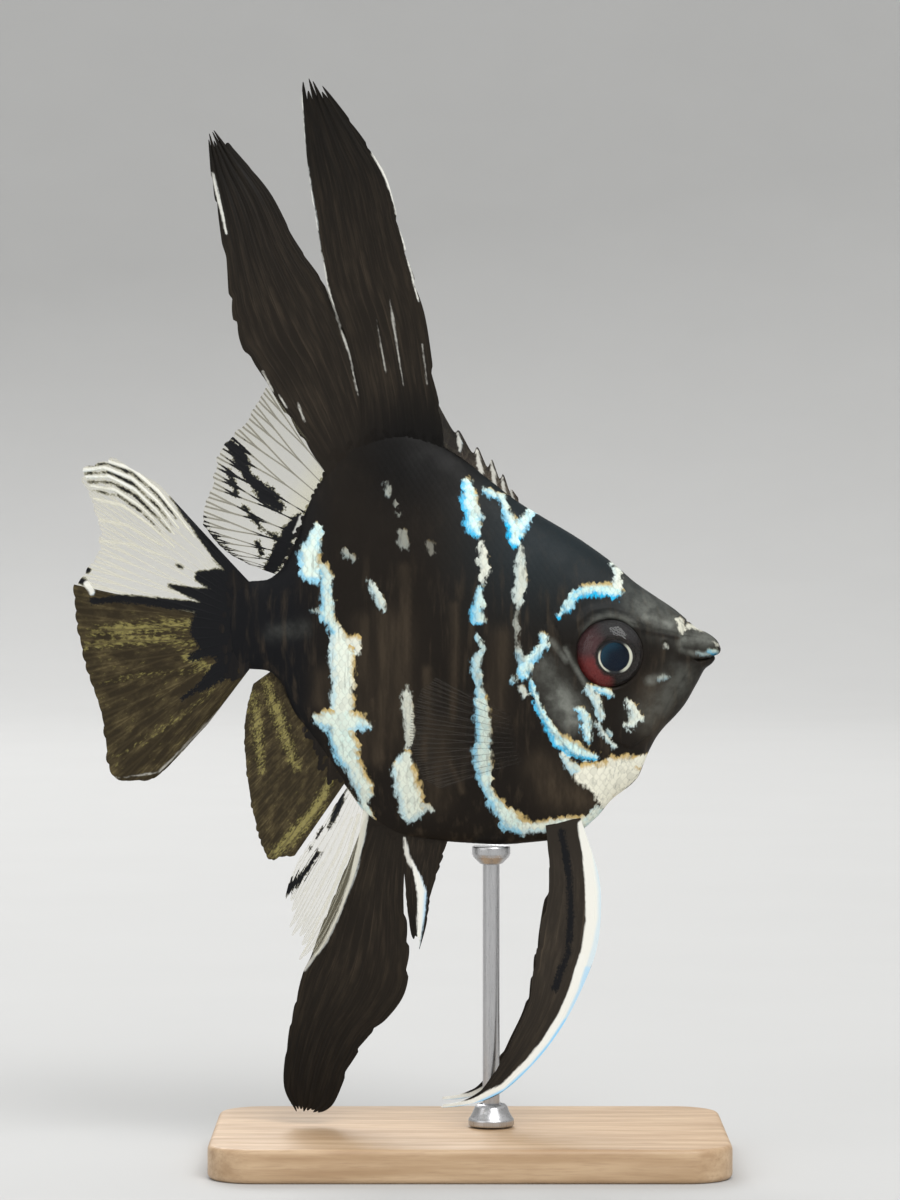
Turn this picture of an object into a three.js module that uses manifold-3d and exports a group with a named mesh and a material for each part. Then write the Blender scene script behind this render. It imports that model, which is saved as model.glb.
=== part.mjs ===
// A marbled freshwater angelfish, swimming, as a life-size display model on a plain stand.
// Millimetres, +Z up. The fish faces +X, its right side faces -Y, and the origin is the
// centre of the underside of the stand's base.
import * as THREE from 'three';
import { mergeVertices } from 'three/addons/utils/BufferGeometryUtils.js';
import Module from 'manifold-3d';

const wasm = await Module();
wasm.setup();

// ---------------------------------------------------------------- driving dimensions

const NOSE_X = 37;
const TAIL_X = -33.5;
const MOUTH_Z = 76.2;
const PEDUNCLE_Z = 79.5;
const GAP = 0.3;
const STATIONS = 31;
const RING_POINTS = 24;

// Lines of the body: [distance forward, value].
const BACK_LINE = [
  [-33.5, 86.2], [-30, 86.4], [-28.1, 87.7], [-25.9, 91.7], [-23.8, 97.5], [-20.9, 102.4],
  [-18, 105.4], [-14.4, 107.4], [-10.1, 108], [-5.8, 107], [-1.4, 104.6], [2.9, 101.2],
  [7.2, 97.7], [10.1, 96.1], [15.8, 92.7], [20.9, 89.1], [24.5, 86], [27.4, 84],
  [30.2, 82.1], [33.1, 79.8], [35.3, 78.5], [36.3, 77.7], [37, 76.8],
];
const BELLY_LINE = [
  [-33.5, 72.7], [-30, 72.6], [-28.1, 71.1], [-25.9, 66.5], [-23.8, 63.6], [-20.9, 59.3],
  [-18, 55], [-14.4, 50.4], [-10.1, 48.2], [-5.8, 47.5], [-1.4, 47.1], [4.3, 46.8],
  [10.1, 47.2], [15.1, 48.1], [18.7, 50.7], [20.9, 53.3], [24.8, 56.6], [26.4, 60.3],
  [27.8, 62.9], [31.8, 67.5], [34.6, 72.4], [36.3, 74.4], [37, 75.5],
];
const HALF_WIDTH_LINE = [
  [-33.5, 1.6], [-28, 2.1], [-23, 2.9], [-18, 3.9], [-12, 4.8], [-4, 5.7], [4, 6],
  [10, 5.9], [16, 5.6], [21, 5.1], [26, 4.3], [30, 3.4], [33, 2.6], [35, 2.1], [36.3, 1.6],
  [37, 0.9],
];

// How keen the section is above and below the flank: 1 is an ellipse, more is a keener edge.
const KEENNESS_ABOVE = [
  [-33.5, 1.2], [-24, 1.5], [-16, 1.9], [-8, 1.85], [0, 1.55], [8, 1.3], [20, 1.2], [37, 1.2],
];
const KEENNESS_BELOW = [[-33.5, 1.2], [-24, 1.55], [-14, 1.75], [-6, 1.4], [2, 1.2], [37, 1.2]];

// Where the body is parted, as [forward, up] points.
const GILL_OPENING = [
  [17.4, 97], [13, 86], [10.8, 79.5], [8.2, 73.7], [9.1, 69.4], [11.1, 65.1],
  [14.7, 60.6], [19.4, 58.2], [29, 57],
];
const GILL_COVER_FRONT = [
  [9, 82.2], [11.8, 80.2], [13.4, 76.6], [15, 72.7], [17.3, 67.5], [20.2, 62.6], [23.4, 56],
];
const JAW_EDGE = [[39, 75.9], [34.3, 74.4], [32.3, 72.1], [30.8, 69.3], [29.8, 64]];
const PEDUNCLE_FRONT_X = -26;
const GILL_COVER_RAISE = 0.25;
const GILL_COVER_INNER_Y = 3.4;

const EYE = { x: 20.5, z: 75.5, y: 3.4, radius: 4.85, depth: 3.1, rimTilt: 0.06 };

const BASE = { length: 76, depth: 48, height: 5, corner: 7, edge: 0.8 };
const ROD = { x: 3.2, radius: 1.25, clearance: 0.3 };
const SOCKET = { radius: 3.4, height: 3.2, flare: 0.9 };
const SADDLE = { radius: 2.9, height: 2.4, rise: 1.3 };

// ---------------------------------------------------------------- materials

function finish(colour, roughness, metalness = 0) {
  return new THREE.MeshStandardMaterial({ color: colour, roughness, metalness });
}

const SKIN = finish(0x17161a, 0.42);
const CHEEK = finish(0x3c3b3d, 0.4);
const FIN_BLACK = finish(0x121114, 0.5);
const FIN_CLEAR = finish(0xb9a54c, 0.45);
const FIN_WHITE = finish(0xe4e4dc, 0.45);
const FIN_SMOKE = finish(0x6a6350, 0.45);
const EYE_FINISH = finish(0x20242f, 0.12);
const BASE_FINISH = finish(0xc9a87a, 0.45);
const STEEL = finish(0xb6b8ba, 0.28, 1);

// ---------------------------------------------------------------- solids and booleans

function toSolid(geometry) {
  const bare = geometry.clone();
  bare.deleteAttribute('normal');
  bare.deleteAttribute('uv');
  const merged = mergeVertices(bare, 1e-4);
  return new wasm.Manifold(new wasm.Mesh({
    numProp: 3,
    vertProperties: new Float32Array(merged.attributes.position.array),
    triVerts: new Uint32Array(merged.index.array),
  }));
}

function toGeometry(solid) {
  const mesh = solid.getMesh();
  const geometry = new THREE.BufferGeometry();
  geometry.setAttribute('position', new THREE.BufferAttribute(mesh.vertProperties, 3));
  geometry.setIndex(new THREE.BufferAttribute(mesh.triVerts, 1));
  geometry.computeVertexNormals();
  return geometry;
}

function gridGeometry(points, triangles) {
  const geometry = new THREE.BufferGeometry();
  geometry.setAttribute('position', new THREE.Float32BufferAttribute(points, 3));
  geometry.setIndex(triangles);
  return geometry;
}

// A closed solid from points and triangles, with its faces turned outwards.
function orientedSolid(points, triangles) {
  let volume = 0;
  const corners = [new THREE.Vector3(), new THREE.Vector3(), new THREE.Vector3()];
  for (let i = 0; i < triangles.length; i += 3) {
    corners.forEach((v, k) => v.fromArray(points, triangles[i + k] * 3));
    volume += corners[0].dot(corners[1].clone().cross(corners[2]));
  }
  return toSolid(gridGeometry(points, volume > 0 ? triangles : triangles.reverse()));
}

// ---------------------------------------------------------------- smooth lines

// A smooth line through the points that never swings past them.
function smoothLine(points) {
  const last = points.length - 1;
  const slopes = [];
  for (let i = 0; i < last; i += 1) {
    slopes.push((points[i + 1][1] - points[i][1]) / (points[i + 1][0] - points[i][0]));
  }
  const tangents = points.map((_, i) => {
    if (i === 0) return slopes[0];
    if (i === last) return slopes[last - 1];
    const product = slopes[i - 1] * slopes[i];
    return product <= 0 ? 0 : (2 * product) / (slopes[i - 1] + slopes[i]);
  });
  return (x) => {
    const clamped = Math.min(Math.max(x, points[0][0]), points[last][0]);
    let i = 0;
    while (i < last - 1 && clamped > points[i + 1][0]) i += 1;
    const width = points[i + 1][0] - points[i][0];
    const t = (clamped - points[i][0]) / width;
    const u = 1 - t;
    return (1 + 2 * t) * u * u * points[i][1] + t * t * (3 - 2 * t) * points[i + 1][1]
      + t * u * width * (u * tangents[i] - t * tangents[i + 1]);
  };
}

const backAt = smoothLine(BACK_LINE);
const bellyAt = smoothLine(BELLY_LINE);
const halfWidthAt = smoothLine(HALF_WIDTH_LINE);
const keennessAbove = smoothLine(KEENNESS_ABOVE);
const keennessBelow = smoothLine(KEENNESS_BELOW);

function flankAt(x) {
  return THREE.MathUtils.mapLinear(x, TAIL_X, NOSE_X, PEDUNCLE_Z, MOUTH_Z);
}

function curveThrough(points) {
  return new THREE.SplineCurve(points.map(([x, z]) => new THREE.Vector2(x, z)));
}

// ---------------------------------------------------------------- the body, whole

// Rings of the body from tail to nose, grown outwards by pad.
function bodySolid(pad = 0) {
  const points = [];
  for (let i = 0; i <= STATIONS; i += 1) {
    const u = i / STATIONS;
    const along = 0.55 * u + 0.45 * Math.sin((u * Math.PI) / 2);
    const x = THREE.MathUtils.lerp(TAIL_X, NOSE_X, along);
    const stretched = THREE.MathUtils.lerp(TAIL_X - pad, NOSE_X + pad, along);
    const flank = flankAt(x);
    for (let j = 0; j < RING_POINTS; j += 1) {
      const angle = (2 * Math.PI * j) / RING_POINTS;
      const side = Math.cos(angle);
      const rise = Math.sin(angle);
      const reach = rise > 0 ? backAt(x) + pad - flank : flank - bellyAt(x) + pad;
      const breadth = (halfWidthAt(x) + pad) * Math.sign(side);
      const keenness = rise > 0 ? keennessAbove(x) : keennessBelow(x);
      points.push(stretched, breadth * Math.abs(side) ** keenness, flank + reach * rise);
    }
  }
  const tailCentre = points.length / 3;
  points.push(TAIL_X - pad, 0, flankAt(TAIL_X), NOSE_X + pad, 0, MOUTH_Z);
  const triangles = [];
  for (let j = 0; j < RING_POINTS; j += 1) {
    const next = (j + 1) % RING_POINTS;
    for (let i = 0; i < STATIONS; i += 1) {
      const a = i * RING_POINTS;
      const b = a + RING_POINTS;
      triangles.push(a + j, b + next, a + next, a + j, b + j, b + next);
    }
    const nose = STATIONS * RING_POINTS;
    triangles.push(tailCentre, j, next, tailCentre + 1, nose + next, nose + j);
  }
  return orientedSolid(points, triangles);
}

// ---------------------------------------------------------------- regions that part it

const REGION_SAMPLES = 10;
const FAR = 60;

// The edge as points, moved sideways by offset.
function offsetPoints(edge, offset) {
  const curve = curveThrough(edge);
  return Array.from({ length: REGION_SAMPLES + 1 }, (_, i) => {
    const u = i / REGION_SAMPLES;
    const tangent = curve.getTangentAt(u);
    return curve.getPointAt(u).add(new THREE.Vector2(-tangent.y, tangent.x).multiplyScalar(offset));
  });
}

// A side-view outline pushed through from y = from to y = to.
function prism(points, from, to) {
  const outline = new THREE.Shape(points);
  const geometry = new THREE.ExtrudeGeometry(outline, { depth: to - from, bevelEnabled: false });
  geometry.rotateX(Math.PI / 2);
  geometry.translate(0, to, 0);
  return toSolid(geometry);
}

function corner(x, z) {
  return new THREE.Vector2(x, z);
}

function headRegion(grow) {
  const edge = offsetPoints(GILL_OPENING, -grow);
  return prism([...edge, corner(FAR, 50), corner(FAR, 110)], -FAR, FAR);
}

function gillCoverRegion(side, grow) {
  const edge = offsetPoints(GILL_COVER_FRONT, grow);
  const inner = GILL_COVER_INNER_Y - grow;
  const outline = [...edge, corner(-5, 50), corner(-5, 83 + grow)];
  return side > 0 ? prism(outline, inner, FAR) : prism(outline, -FAR, -inner);
}

function jawRegion(grow) {
  const edge = offsetPoints(JAW_EDGE, -grow);
  return prism([...edge, corner(FAR, 60), corner(FAR, 76)], -FAR, FAR);
}

function peduncleRegion(grow) {
  const x = PEDUNCLE_FRONT_X + grow;
  return prism([corner(x, 40), corner(x, 120), corner(-FAR, 120), corner(-FAR, 40)], -FAR, FAR);
}

// ---------------------------------------------------------------- eyes

function eyeball(side, grow) {
  const ball = new THREE.SphereGeometry(1, 14, 8);
  ball.rotateX(Math.PI / 2);
  ball.scale(EYE.radius + grow, EYE.depth + grow, EYE.radius + grow);
  ball.rotateZ(side * EYE.rimTilt * -1);
  ball.translate(EYE.x, side * EYE.y, EYE.z);
  return toSolid(ball);
}

// ---------------------------------------------------------------- fins

// The sheet between a front edge and a rear edge, both running from root to tip.
function edgeSheet(front, rear) {
  const lead = curveThrough(front);
  const trail = curveThrough(rear);
  return (along, across) => lead.getPointAt(along).lerp(trail.getPointAt(along), across);
}

// The sheet of rays that run from a root line to the free margin.
function raySheet(root, margin) {
  const start = curveThrough(root);
  const end = curveThrough(margin);
  return (along, across) => start.getPointAt(across).lerp(end.getPointAt(across), along);
}

const RIB_DEPTH = 0.22;

// A fin as a plate that thickens over each ray; sway(along, across) gives its y.
function finSolid({ sheet, rays, rows, root, tip, sway }) {
  const columns = rays * 2;
  const place = (along, across) => {
    const flat = sheet(along, across);
    return new THREE.Vector3(flat.x, sway(along, across), flat.y);
  };
  const step = 1e-3;
  const middle = [];
  const normals = [];
  const halves = [];
  for (let i = 0; i <= rows; i += 1) {
    for (let j = 0; j <= columns; j += 1) {
      const along = i / rows;
      const across = j / columns;
      const nearA = Math.min(along, 1 - step);
      const nearB = Math.min(across, 1 - step);
      const here = place(nearA, nearB);
      const forward = place(nearA + step, nearB).sub(here);
      const sideways = place(nearA, nearB + step).sub(here);
      const normal = forward.cross(sideways).normalize();
      if (normal.y < 0) normal.negate();
      const rib = 1 - (j % 2) * RIB_DEPTH;
      middle.push(place(along, across));
      normals.push(normal);
      halves.push((THREE.MathUtils.lerp(root, tip, along) * rib) / 2);
    }
  }
  const points = [];
  for (const face of [1, -1]) {
    middle.forEach((p, k) => {
      points.push(...p.clone().addScaledVector(normals[k], face * halves[k]).toArray());
    });
  }
  return orientedSolid(points, plateTriangles(rows, columns));
}

function plateTriangles(rows, columns) {
  const width = columns + 1;
  const back = (rows + 1) * width;
  const triangles = [];
  const quad = (a, b, c, d) => triangles.push(a, b, c, a, c, d);
  for (let i = 0; i < rows; i += 1) {
    for (let j = 0; j < columns; j += 1) {
      const k = i * width + j;
      quad(k, k + 1, k + width + 1, k + width);
      quad(back + k, back + k + width, back + k + width + 1, back + k + 1);
    }
    const left = i * width;
    const right = left + columns;
    quad(left, left + width, back + left + width, back + left);
    quad(right + width, right, back + right, back + right + width);
  }
  for (let j = 0; j < columns; j += 1) {
    const end = rows * width + j;
    quad(j + 1, j, back + j, back + j + 1);
    quad(end, end + 1, back + end + 1, back + end);
  }
  return triangles;
}

const still = () => 0;

const MEDIAN_FINS = [
  {
    name: 'dorsal_fin_spines',
    finish: FIN_WHITE,
    sheet: raySheet(
      [[7.4, 96.6], [2.6, 100], [-1.8, 103.4]],
      [[7.2, 98.3], [6.2, 99.6], [5.9, 99.3], [5, 101.8], [4.4, 101.2], [3.3, 104],
        [2.6, 102.9], [1.2, 105.8], [0.4, 105], [-1.5, 108.2]],
    ),
    rays: 9,
    rows: 2,
    root: 1.1,
    tip: 0.7,
    sway: still,
  },
  {
    name: 'dorsal_fin_front_lobe',
    finish: FIN_BLACK,
    sheet: edgeSheet(
      [[-2.6, 102.9], [-4.2, 110.4], [-5.3, 116.9], [-6.6, 125.6], [-8.9, 133.2],
        [-10.7, 140], [-12.5, 146.2], [-15.6, 151.1], [-19, 155.8], [-22.2, 160]],
      [[-16.7, 105.8], [-16.1, 112.6], [-17.6, 119.8], [-19.3, 124.8], [-21, 129.5],
        [-22.6, 138.5], [-23.9, 147.2], [-24.6, 155.1], [-24.8, 160.3]],
    ),
    rays: 4,
    rows: 12,
    root: 1.3,
    tip: 0.65,
    sway: (along) => -1.6 * along * along,
  },
  {
    name: 'dorsal_fin_rear_lobe',
    finish: FIN_BLACK,
    sheet: edgeSheet(
      [[-17.3, 105.2], [-16.8, 112.6], [-18.4, 119.7], [-20.2, 124.7], [-22, 129.2],
        [-25.6, 136.1], [-29.4, 143.3], [-33.7, 148.6], [-38, 153.5]],
      [[-20, 101.2], [-24.5, 106.6], [-27.4, 110.9], [-30, 115], [-33.1, 119.4],
        [-35, 124.8], [-36, 131.3], [-37, 138.5], [-38.2, 145.7], [-38.9, 152.5]],
    ),
    rays: 4,
    rows: 11,
    root: 1.2,
    tip: 0.65,
    sway: (along) => 2.4 * along * along,
  },
  {
    name: 'dorsal_fin_soft_rays',
    finish: FIN_CLEAR,
    sheet: raySheet(
      [[-20.5, 99.5], [-24.2, 91.6], [-27.5, 86.6]],
      [[-31.2, 114], [-33.7, 109.6], [-36.9, 105.8], [-38.3, 100.4], [-39.7, 95.2],
        [-36.7, 90.9], [-32.4, 88.3]],
    ),
    rays: 7,
    rows: 4,
    root: 1,
    tip: 0.65,
    sway: (along, across) => 0.9 * along * Math.sin(across * 7),
  },
  {
    name: 'anal_fin_spines',
    finish: FIN_WHITE,
    sheet: edgeSheet(
      [[-3.5, 48.9], [-4.2, 44.5], [-5.6, 40], [-6.3, 35.6], [-7.3, 31.2]],
      [[-9.4, 49.6], [-9.5, 42.8], [-9, 37], [-8.3, 32]],
    ),
    rays: 3,
    rows: 6,
    root: 1.2,
    tip: 0.65,
    sway: still,
  },
  {
    name: 'anal_fin_long_lobe',
    finish: FIN_BLACK,
    sheet: edgeSheet(
      [[-10, 50], [-10.1, 40], [-9.4, 34.8], [-8.9, 29.8], [-9.6, 24.8], [-12.2, 20.9],
        [-15, 18.3], [-17.9, 13.5], [-20.3, 8.1], [-23.2, 6.2]],
      [[-14.5, 52.4], [-17.3, 45.6], [-20.2, 38.4], [-22.8, 32], [-24.5, 27.6],
        [-25.9, 22.6], [-27.1, 16.8], [-27.6, 10.9], [-25.9, 6.8]],
    ),
    rays: 4,
    rows: 12,
    root: 1.2,
    tip: 0.65,
    sway: (along) => 2.2 * along * along,
  },
  {
    name: 'anal_fin_clear_rays',
    finish: FIN_CLEAR,
    sheet: edgeSheet(
      [[-15.1, 52.6], [-17.9, 45.9], [-20.7, 38.9], [-23.3, 32.4], [-25.3, 27.9]],
      [[-17.2, 56.4], [-21.9, 49.7], [-25.3, 44.5], [-27.5, 39]],
    ),
    rays: 3,
    rows: 7,
    root: 1,
    tip: 0.65,
    sway: (along) => 0.9 * along * along,
  },
  {
    name: 'anal_fin_rear_lobe',
    finish: FIN_BLACK,
    sheet: raySheet(
      [[-18.1, 56.5], [-23, 64.6], [-27.9, 73]],
      [[-26.2, 45.4], [-27.9, 45.1], [-30, 44.9], [-31.7, 49.7], [-32.8, 55],
        [-33.4, 60.8], [-33.3, 65.8], [-32.1, 70.7]],
    ),
    rays: 6,
    rows: 4,
    root: 1,
    tip: 0.65,
    sway: (along, across) => -1.1 * along * Math.sin(1 + across * 4),
  },
  {
    name: 'caudal_fin_upper',
    finish: FIN_CLEAR,
    sheet: raySheet(
      [[-33, 85.9], [-33, 79.6]],
      [[-46.1, 100.4], [-50.4, 103], [-53.3, 104.3], [-57.6, 102.5], [-56.2, 97.5],
        [-55, 91.7], [-58.8, 85.6]],
    ),
    rays: 6,
    rows: 5,
    root: 1.1,
    tip: 0.65,
    sway: (along, across) => 1.8 * along * along * (1 - across),
  },
  {
    name: 'caudal_fin_lower',
    finish: FIN_SMOKE,
    sheet: raySheet(
      [[-33, 79.2], [-33, 72.9]],
      [[-58.9, 85.1], [-58.2, 78.8], [-56.9, 73], [-54.7, 65.8], [-53.3, 57.2],
        [-49.7, 56.2], [-46.1, 57.2], [-38.9, 64.7]],
    ),
    rays: 6,
    rows: 5,
    root: 1.1,
    tip: 0.65,
    sway: (along, across) => 1.5 * along * along * across,
  },
];

const PELVIC = {
  front: [
    [16.4, 51], [19, 42.8], [19.4, 37], [18.7, 31.5], [16.8, 26.4], [14, 20.9],
    [10.1, 15.6], [4.8, 10.7], [0, 8.9], [-4.3, 8.4],
  ],
  rear: [
    [11.2, 50.4], [11.8, 42.8], [10.8, 37], [9.8, 31.2], [8.4, 23.3], [6, 18],
    [4.2, 14.6], [1.6, 11], [-1.2, 9.6], [-4.3, 9.2],
  ],
  rootY: 1.5,
  splay: 2.8,
};

function pelvicFin(side) {
  return finSolid({
    sheet: edgeSheet(PELVIC.front, PELVIC.rear),
    rays: 2,
    rows: 14,
    root: 1.1,
    tip: 0.7,
    sway: (along) => side * (PELVIC.rootY + PELVIC.splay * along),
  });
}

const PECTORAL = {
  root: [[8, 65.6], [8, 59.4]],
  margin: [[-5.2, 72.4], [-7.6, 70], [-8.8, 66], [-8.7, 61.4], [-7.2, 57.6], [-4.6, 55.8]],
  rootY: 4.1,
  spread: { right: 5.6, left: 9 },
  cup: 1.2,
};

function pectoralFin(side, spread) {
  return finSolid({
    sheet: raySheet(PECTORAL.root, PECTORAL.margin),
    rays: 6,
    rows: 5,
    root: 0.9,
    tip: 0.65,
    sway: (along, across) => {
      const cup = PECTORAL.cup * Math.sin(across * Math.PI) * along;
      return side * (PECTORAL.rootY + spread * along ** 0.8 + cup);
    },
  });
}

// ---------------------------------------------------------------- stand

function standBase() {
  const halfLength = BASE.length / 2 - BASE.edge;
  const halfDepth = BASE.depth / 2 - BASE.edge;
  const round = BASE.corner - BASE.edge;
  const outline = new THREE.Shape();
  outline.moveTo(-halfLength + round, -halfDepth);
  outline.lineTo(halfLength - round, -halfDepth);
  outline.absarc(halfLength - round, -halfDepth + round, round, -Math.PI / 2, 0);
  outline.absarc(halfLength - round, halfDepth - round, round, 0, Math.PI / 2);
  outline.absarc(-halfLength + round, halfDepth - round, round, Math.PI / 2, Math.PI);
  outline.absarc(-halfLength + round, -halfDepth + round, round, Math.PI, 1.5 * Math.PI);
  const geometry = new THREE.ExtrudeGeometry(outline, {
    depth: BASE.height - 2 * BASE.edge,
    bevelThickness: BASE.edge,
    bevelSize: BASE.edge,
    bevelSegments: 1,
    curveSegments: 5,
  });
  geometry.translate(0, 0, BASE.edge);
  return toSolid(geometry);
}

function turned(profile, x, sides = 18) {
  const points = profile.map(([radius, z]) => new THREE.Vector2(radius, z));
  const geometry = new THREE.LatheGeometry(points, sides);
  geometry.rotateX(Math.PI / 2);
  geometry.translate(x, 0, 0);
  return geometry;
}

const rodFoot = BASE.height + GAP;
const saddleFoot = bellyAt(ROD.x) - GAP - SADDLE.height;

function standRod() {
  const top = saddleFoot - GAP;
  return toSolid(turned([[0, rodFoot], [ROD.radius, rodFoot], [ROD.radius, top], [0, top]], ROD.x));
}

function standSocket() {
  const inner = ROD.radius + ROD.clearance;
  const foot = BASE.height + GAP;
  const top = foot + SOCKET.height;
  const waist = SOCKET.radius - SOCKET.flare;
  return toSolid(turned([
    [inner, foot], [SOCKET.radius, foot], [SOCKET.radius, foot + SOCKET.flare],
    [waist, top - SOCKET.flare / 2], [waist - SOCKET.flare / 2, top], [inner, top],
    [inner, foot],
  ], ROD.x));
}

function standSaddle() {
  const top = saddleFoot + SADDLE.height + SADDLE.rise;
  const narrow = ROD.radius + ROD.clearance;
  const cup = toSolid(turned([
    [0, saddleFoot], [narrow, saddleFoot], [SADDLE.radius, saddleFoot + SADDLE.height / 2],
    [SADDLE.radius, top], [0, top],
  ], ROD.x));
  return cup.subtract(bodySolid(GAP));
}

// ---------------------------------------------------------------- assembly

const fish = new THREE.Group();
fish.name = 'freshwater_angelfish';

function add(name, solid, material) {
  const mesh = new THREE.Mesh(toGeometry(solid), material);
  mesh.name = name;
  fish.add(mesh);
}

const RIGHT = -1;
const LEFT = 1;
const body = bodySolid();
const clearOfBody = bodySolid(GAP);

add('trunk', body.subtract(headRegion(GAP)).subtract(peduncleRegion(GAP)), SKIN);
add('tail_peduncle', body.intersect(peduncleRegion(0)), SKIN);
add('lower_jaw', body.intersect(jawRegion(0)), CHEEK);

let head = body.intersect(headRegion(0)).subtract(jawRegion(GAP));
for (const [side, word] of [[RIGHT, 'right'], [LEFT, 'left']]) {
  head = head.subtract(gillCoverRegion(side, GAP)).subtract(eyeball(side, GAP));
  const cover = bodySolid(GILL_COVER_RAISE).intersect(headRegion(0));
  add(`gill_cover_${word}`, cover.intersect(gillCoverRegion(side, 0)), CHEEK);
  add(`eye_${word}`, eyeball(side, 0), EYE_FINISH);
}
add('head', head, CHEEK);

for (const fin of MEDIAN_FINS) {
  add(fin.name, finSolid(fin).subtract(clearOfBody), fin.finish);
}

const clearOfFlank = bodySolid(GAP + GILL_COVER_RAISE);
for (const [side, word] of [[RIGHT, 'right'], [LEFT, 'left']]) {
  add(`pelvic_fin_${word}`, pelvicFin(side).subtract(clearOfBody), FIN_WHITE);
  const pectoral = pectoralFin(side, PECTORAL.spread[word]);
  add(`pectoral_fin_${word}`, pectoral.subtract(clearOfFlank), FIN_CLEAR);
}

add('stand_base', standBase(), BASE_FINISH);
add('stand_rod', standRod(), STEEL);
add('stand_socket', standSocket(), STEEL);
add('stand_saddle', standSaddle(), STEEL);

export default fish;
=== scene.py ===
import math
from contextlib import contextmanager

import bpy
import numpy as np
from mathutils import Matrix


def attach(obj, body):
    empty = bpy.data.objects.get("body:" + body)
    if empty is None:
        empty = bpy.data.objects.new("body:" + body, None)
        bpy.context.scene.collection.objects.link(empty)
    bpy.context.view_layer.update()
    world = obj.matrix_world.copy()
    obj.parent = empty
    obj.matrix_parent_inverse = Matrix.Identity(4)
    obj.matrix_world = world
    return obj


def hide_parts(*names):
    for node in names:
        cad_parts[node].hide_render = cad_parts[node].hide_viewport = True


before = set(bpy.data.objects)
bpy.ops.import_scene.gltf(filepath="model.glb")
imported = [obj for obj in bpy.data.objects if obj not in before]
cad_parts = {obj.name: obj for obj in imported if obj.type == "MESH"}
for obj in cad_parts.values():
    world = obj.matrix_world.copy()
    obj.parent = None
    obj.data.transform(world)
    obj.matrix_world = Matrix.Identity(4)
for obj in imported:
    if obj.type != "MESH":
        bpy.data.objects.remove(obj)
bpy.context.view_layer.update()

MM = 0.001
RIGHT, LEFT = -1, 1
SIDES = ((RIGHT, "right"), (LEFT, "left"))
random = np.random.default_rng(7)

# ------------------------------------------------------------------ sizes, in millimetres

NOSE_X = 37.0
TAIL_X = -35.6
MOUTH_Z = 76.2
PEDUNCLE_Z = 79.5
COAT_DEPTH = 0.2
RING_STEPS = 241
LEAST_HALF_WIDTH = 0.12

# Lines of the body: (distance forward, value).
BACK_LINE = [
    (-35.6, 83.6), (-33.5, 86.0), (-30, 86.4), (-28.1, 87.7), (-25.9, 91.7), (-23.8, 97.5),
    (-20.9, 102.4), (-18, 105.4), (-14.4, 107.4), (-10.1, 108), (-5.8, 107), (-1.4, 104.6),
    (2.9, 101.2), (7.2, 97.9), (10.1, 96.1), (15.8, 92.7), (20.9, 89.1), (24.5, 86),
    (27.4, 84), (30.2, 82.1), (32.2, 80.4), (33.6, 79.2), (35.0, 78.6), (36.1, 77.9),
    (36.8, 77.1), (37, 76.3),
]
BELLY_LINE = [
    (-35.6, 75.2), (-33.5, 72.9), (-30, 72.6), (-28.1, 71.1), (-25.9, 66.5), (-23.8, 63.6),
    (-20.9, 59.3), (-18, 55), (-14.4, 50.4), (-10.1, 48.2), (-5.8, 47.5), (-1.4, 47.1),
    (4.3, 46.8), (10.1, 47.2), (15.1, 48.1), (18.7, 50.7), (20.9, 53.3), (24.8, 56.6),
    (26.4, 60.3), (27.8, 62.9), (31.8, 67.5), (33.6, 70.6), (35, 73.1), (36.2, 74.3),
    (36.8, 75.2), (37, 76),
]
HALF_WIDTH_LINE = [
    (-35.6, 0.3), (-34.2, 0.8), (-32, 1.35), (-28, 2.05), (-23, 2.9), (-18, 3.9),
    (-12, 4.8), (-4, 5.7), (4, 6), (10, 5.9), (16, 5.6), (21, 5.1), (26, 4.3), (30, 3.4),
    (33, 2.55), (35, 2.05), (36.2, 1.6), (36.8, 1.0), (37, 0.3),
]
# How keen the section is above and below the flank: 1 is an ellipse, more a keener edge.
KEENNESS_ABOVE = [
    (-35.6, 1.2), (-24, 1.5), (-16, 1.9), (-8, 1.85), (0, 1.55), (8, 1.3), (20, 1.2), (37, 1.1),
]
KEENNESS_BELOW = [(-35.6, 1.2), (-24, 1.55), (-14, 1.75), (-6, 1.4), (2, 1.2), (37, 1.1)]

GILL_OPENING = [
    (12.0, 81.6), (10.8, 79.0), (8.4, 73.7), (9.1, 69.4), (11.1, 65.1),
    (14.7, 60.9), (19.4, 58.6), (24, 57.4), (27, 58),
]
CHEEK_GROOVE = [
    (12.6, 79.5), (13.6, 76.6), (15.4, 73.5), (17.3, 70.6), (18.6, 66.5), (20.6, 62.6),
    (23.6, 61.2), (26.6, 63.2),
]
MOUTH_SLIT = [(37.6, 75.3), (36.5, 74.9), (35.2, 74.5), (34.0, 74.3), (33.0, 74.5)]
LIP_FOLD = [(32.9, 74.2), (31.8, 75.6), (31.3, 77.2), (31.6, 78.8), (32.4, 80.4)]
JAW_FOLD = [(33.2, 74.0), (32.2, 72.4), (31.0, 70.6), (29.6, 68.2), (28.4, 65.8)]
SNOUT_SHELF = [(24.6, 79.6), (26.4, 79.0), (28.4, 78.6), (30.8, 78.2)]
BROW = [(15.2, 77.6), (15.9, 80), (18, 81.6), (20.6, 82), (23.4, 81.2), (25.4, 79.2)]
ORBIT = {"x": 20.5, "z": 75.5, "radius": 4.95, "roundness": 0.95, "depth": 2.6, "wall": 0.55}
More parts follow.
